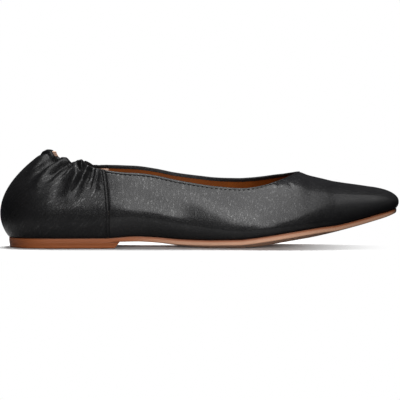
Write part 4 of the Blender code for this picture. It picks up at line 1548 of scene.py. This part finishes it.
def sole_ring(share, inset, height):
    """A ring a share of the way out or, where inset isn't None, that far in from the edge. height is
    a function of x and of the share of the way out."""
    if inset is None:
        place = WHOLE_SPINE + (WHOLE_EDGE - WHOLE_SPINE) * share
        out = np.full(len(place), share)
    else:
        reach = np.linalg.norm(WHOLE_EDGE - WHOLE_SPINE, axis=1)
        place = WHOLE_EDGE + (WHOLE_SPINE - WHOLE_EDGE) * (inset / reach)[:, None]
        out = 1 - inset / reach
    x = np.clip(place[:, 0], 0, LENGTH)
    ring = np.column_stack([place, height(x, out)])
    ring[:, 0] -= HEEL_CENTRE
    return ring


def lofted(name, rings, material, shade=None, stain=None, sharp=40):
    """A closed mesh through rings, of which the first and the last lie folded on the middle line.
    shade: each ring's painted light and shade, as a brightness. stain: how much each has taken up of
    the
    darker edge dye. sharp: the angle in degrees over which an edge stays sharp."""
    count = len(rings[0])
    index = np.arange(len(rings) * count).reshape(len(rings), count)
    low, high = index[:-1], index[1:]
    quads = np.stack([low, np.roll(low, -1, axis=1), np.roll(high, -1, axis=1), high], axis=-1)
    points = np.concatenate(rings)
    made = new_piece(name, points, quads.reshape(-1, 4).tolist(), material)
    mesh = made.data
    # The first attribute holds each ring's painted light and shade, the second the edge dye.
    for label, values, plain in (("painted_light_and_shade", shade, 1.0), ("edge_stain", stain, 0.0)):
        layer = mesh.attributes.new(label, "FLOAT", "POINT")
        values = np.full(len(rings), plain) if values is None else values
        spread = [np.broadcast_to(value, count) for value in values]
        layer.data.foreach_set("value", np.concatenate(spread).astype(np.float32))
    form = bmesh.new()
    form.from_mesh(mesh)
    bmesh.ops.remove_doubles(form, verts=form.verts, dist=MERGE_WITHIN)
    bmesh.ops.dissolve_degenerate(form, edges=form.edges, dist=SHORTEST_EDGE)
    bmesh.ops.recalc_face_normals(form, faces=form.faces)
    form.to_mesh(mesh)
    form.free()
    mesh.set_sharp_from_angle(angle=math.radians(sharp))
    print(name, "faces", len(mesh.polygons), "from", np.round(points.min(0) / MM, 1), "to",
          np.round(points.max(0) / MM, 1))
    return made


# %% The outsole
def sole_upper_face(x, share):
    """Height of the outsole's upper face."""
    return dished(x, share) + thickness(x)


# On the heel block the sole's lower edge is sanded flush, so its rounding and its painted light and
# shade end there: past_block is 0 over the block and 1 from a little in front of its breast on.
FLUSH_BEHIND = 3 * MM
FLUSH_OVER = 7 * MM
# Painted shade: the outsole's upper face, hidden under the upper, is drawn this bright, and the
# groove underneath is drawn darker by this share at its deepest.
UPPER_FACE_PAINTED_SHADE = 0.8
CHANNEL_PAINTED_SHADE = 0.35
past_block = eased((WHOLE_EDGE[:, 0] - BREAST + FLUSH_BEHIND) / FLUSH_OVER)
outsole_rings = []
outsole_painted_light = []
outsole_stain = []
for share in (0.0, 0.15, 0.30, 0.45, 0.60, 0.72, 0.84, 0.92):
    outsole_rings.append(sole_ring(share, None, sole_upper_face))
    outsole_painted_light.append(UPPER_FACE_PAINTED_SHADE)
    outsole_stain.append(1.0)
# up: from the edge's middle, shares of half the thickness. inset: in mm. tone: painted light and
# shade, how bright the ring is drawn, darker where the edge meets the upper and lighter on its lower
# edge. dye: how much of the darker stain.
for up, inset, tone, dye in (
    (1.00, 0.60, 0.25, 1.0),
    (1.00, 0.28, 0.30, 1.0),
    (0.86, 0.06, 0.55, 1.0),
    (0.66, 0.00, 0.85, 1.0),
    (0.44, -0.02, 1.00, 0.75),
    (0.20, -0.03, 1.04, 0.30),
    (-0.15, -0.02, 1.06, 0.05),
    (-0.45, 0.04, 1.10, 0.0),
    (-0.72, 0.10, 1.15, 0.0),
    (-0.90, 0.22, 1.20, 0.0),
    (-0.98, 0.48, 1.10, 0.0),
    (-1.00, 1.20, 0.90, 0.0),
):
    there = past_block if up < 0 else 1.0
    outsole_rings.append(
        sole_ring(
            None, inset * MM * there, lambda x, s, up=up: dished(x, s) + thickness(x) * (1 + up) / 2
        )
    )
    outsole_painted_light.append(1 - (1 - tone) * there)
    outsole_stain.append(dye)
# inset: in mm, across the groove. depth: share of CHANNEL_DEPTH, which also darkens the ring as
# painted shade.
for inset, depth in ((3.5, 0.0), (3.8, 0.7), (4.0, 1.0), (4.2, 0.7), (4.5, 0.0)):
    outsole_rings.append(
        sole_ring(None, inset * MM, lambda x, s, depth=depth: dished(x, s) + CHANNEL_DEPTH * depth)
    )
    outsole_painted_light.append(1.0 - CHANNEL_PAINTED_SHADE * depth)
    outsole_stain.append(0.0)
for share in (0.62, 0.45, 0.30, 0.15, 0.0):
    outsole_rings.append(sole_ring(share, None, dished))
    outsole_painted_light.append(1.0)
    outsole_stain.append(0.0)
outsole_leather = lofted(
    "outsole_leather", outsole_rings, tan_sole, outsole_painted_light, outsole_stain, sharp=50
)
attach(outsole_leather, "root")
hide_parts("outsole")

# %% [markdown]
# ## Insole
# The insole is a soft caramel sock over a thin board, dished to the foot, with a rounded edge that
# meets the lining.

# %% The insole
INSOLE_SETBACK = SETBACK + LAP + WALL + GAP


def insole_low(x, share):
    """Height of the insole's underside."""
    return dished(x, share) + thickness(x) + GAP


insole_rings = [sole_ring(share, None, insole_low) for share in (0.0, 0.30, 0.60, 0.85)]
# up: share of the insole's thickness. inset: in mm.
for up, inset in (
    (0.00, 0.25),
    (0.15, 0.05),
    (0.45, 0.00),
    (0.75, 0.04),
    (0.90, 0.14),
    (0.98, 0.32),
    (1.00, 0.60),
):
    insole_rings.append(
        sole_ring(
            None,
            INSOLE_SETBACK + inset * MM,
            lambda x, s, up=up: insole_low(x, s) + INSOLE_THICKNESS * up,
        )
    )
for share in (0.84, 0.72, 0.60, 0.48, 0.36, 0.24, 0.12, 0.0):
    insole_rings.append(sole_ring(share, None, lambda x, s: insole_low(x, s) + INSOLE_THICKNESS))
insole_sock = lofted("insole_sock", insole_rings, insole_leather)
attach(insole_sock, "root")
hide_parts("insole")

# %% [markdown]
# ## Heel block
# The heel is a low stack of sole leather, cut straight across at its breast. Its wall is drawn in
# slightly towards the floor, its lower edge is rounded, and one faint line half way up shows where
# the two layers of the stack meet. Its rings carry painted light and shade: lighter over the lower
# half of the wall, darker at the rounded edges and on the flat faces.

# %% The heel block
HEEL_SIDE_POINTS = 120
HEEL_BREAST_POINTS = 14


def heel_ring(breast, height, inset):
    """A level ring of the block: the sole's outline drawn in by inset and cut off at the breast."""
    shares = np.linspace(0, 1, DENSE)
    rows = np.linspace(0, 1, HEEL_SIDE_POINTS)
    sides = []
    for side in (-1, 1):
        points, outward = outline_at(shares, side)
        points = points - outward * inset
        corner = (breast, np.interp(breast, points[:, 0], points[:, 1]))
        kept = np.vstack([points[points[:, 0] < breast], corner])
        sides.append(at_shares(kept, rows))
    across = np.linspace(sides[0][-1], sides[1][-1], HEEL_BREAST_POINTS)[1:-1]
    plan = np.concatenate([sides[0], across, sides[1][:0:-1]])
    plan[:, 0] -= HEEL_CENTRE
    return np.column_stack([plan, np.full(len(plan), height)])


# A hair of air is left under the sole, as between the solids.
HEEL_TOP = LIFT - GAP / 6
# Painted shade on the block's flat top and bottom faces.
FLAT_FACE_PAINTED_SHADE = 0.9
# up: share of the block's height. extra: further inset in mm. tone: painted light and shade, how
# bright the ring is drawn, with a small dip at the line between the two layers.
HEEL_STEPS = (
    (0.000, 0.35, 0.95),
    (0.020, 0.14, 1.00),
    (0.070, 0.00, 1.15),
    (0.300, 0.00, 1.15),
    (0.450, 0.00, 1.10),
    (0.475, 0.03, 1.05),
    (0.500, 0.00, 1.08),
    (0.940, 0.00, 1.00),
    (0.980, 0.00, 1.00),
    (1.000, 0.03, 0.96),
)
heel_rings = []
for up, extra, tone in HEEL_STEPS:
    drawn_in = SETBACK * (1 - up) + extra * MM
    heel_rings.append(heel_ring(BREAST + BREAST_SLANT * up - extra * MM, HEEL_TOP * up, drawn_in))
middle_low = heel_rings[0].mean(axis=0)
middle_high = heel_rings[-1].mean(axis=0)
closing_low = [middle_low + (heel_rings[0] - middle_low) * share for share in (0.0, 0.5, 0.85)]
closing_high = [middle_high + (heel_rings[-1] - middle_high) * share for share in (0.85, 0.5, 0.0)]
# Painted light and shade for every ring: flat bottom, wall, flat top.
flat_painted_shade = [FLAT_FACE_PAINTED_SHADE] * len(closing_low)
heel_painted_light = flat_painted_shade + [tone for _, _, tone in HEEL_STEPS] + flat_painted_shade
heel_block = lofted("heel_block", closing_low + heel_rings + closing_high, tan_heel, heel_painted_light)
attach(heel_block, "root")
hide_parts("heel")
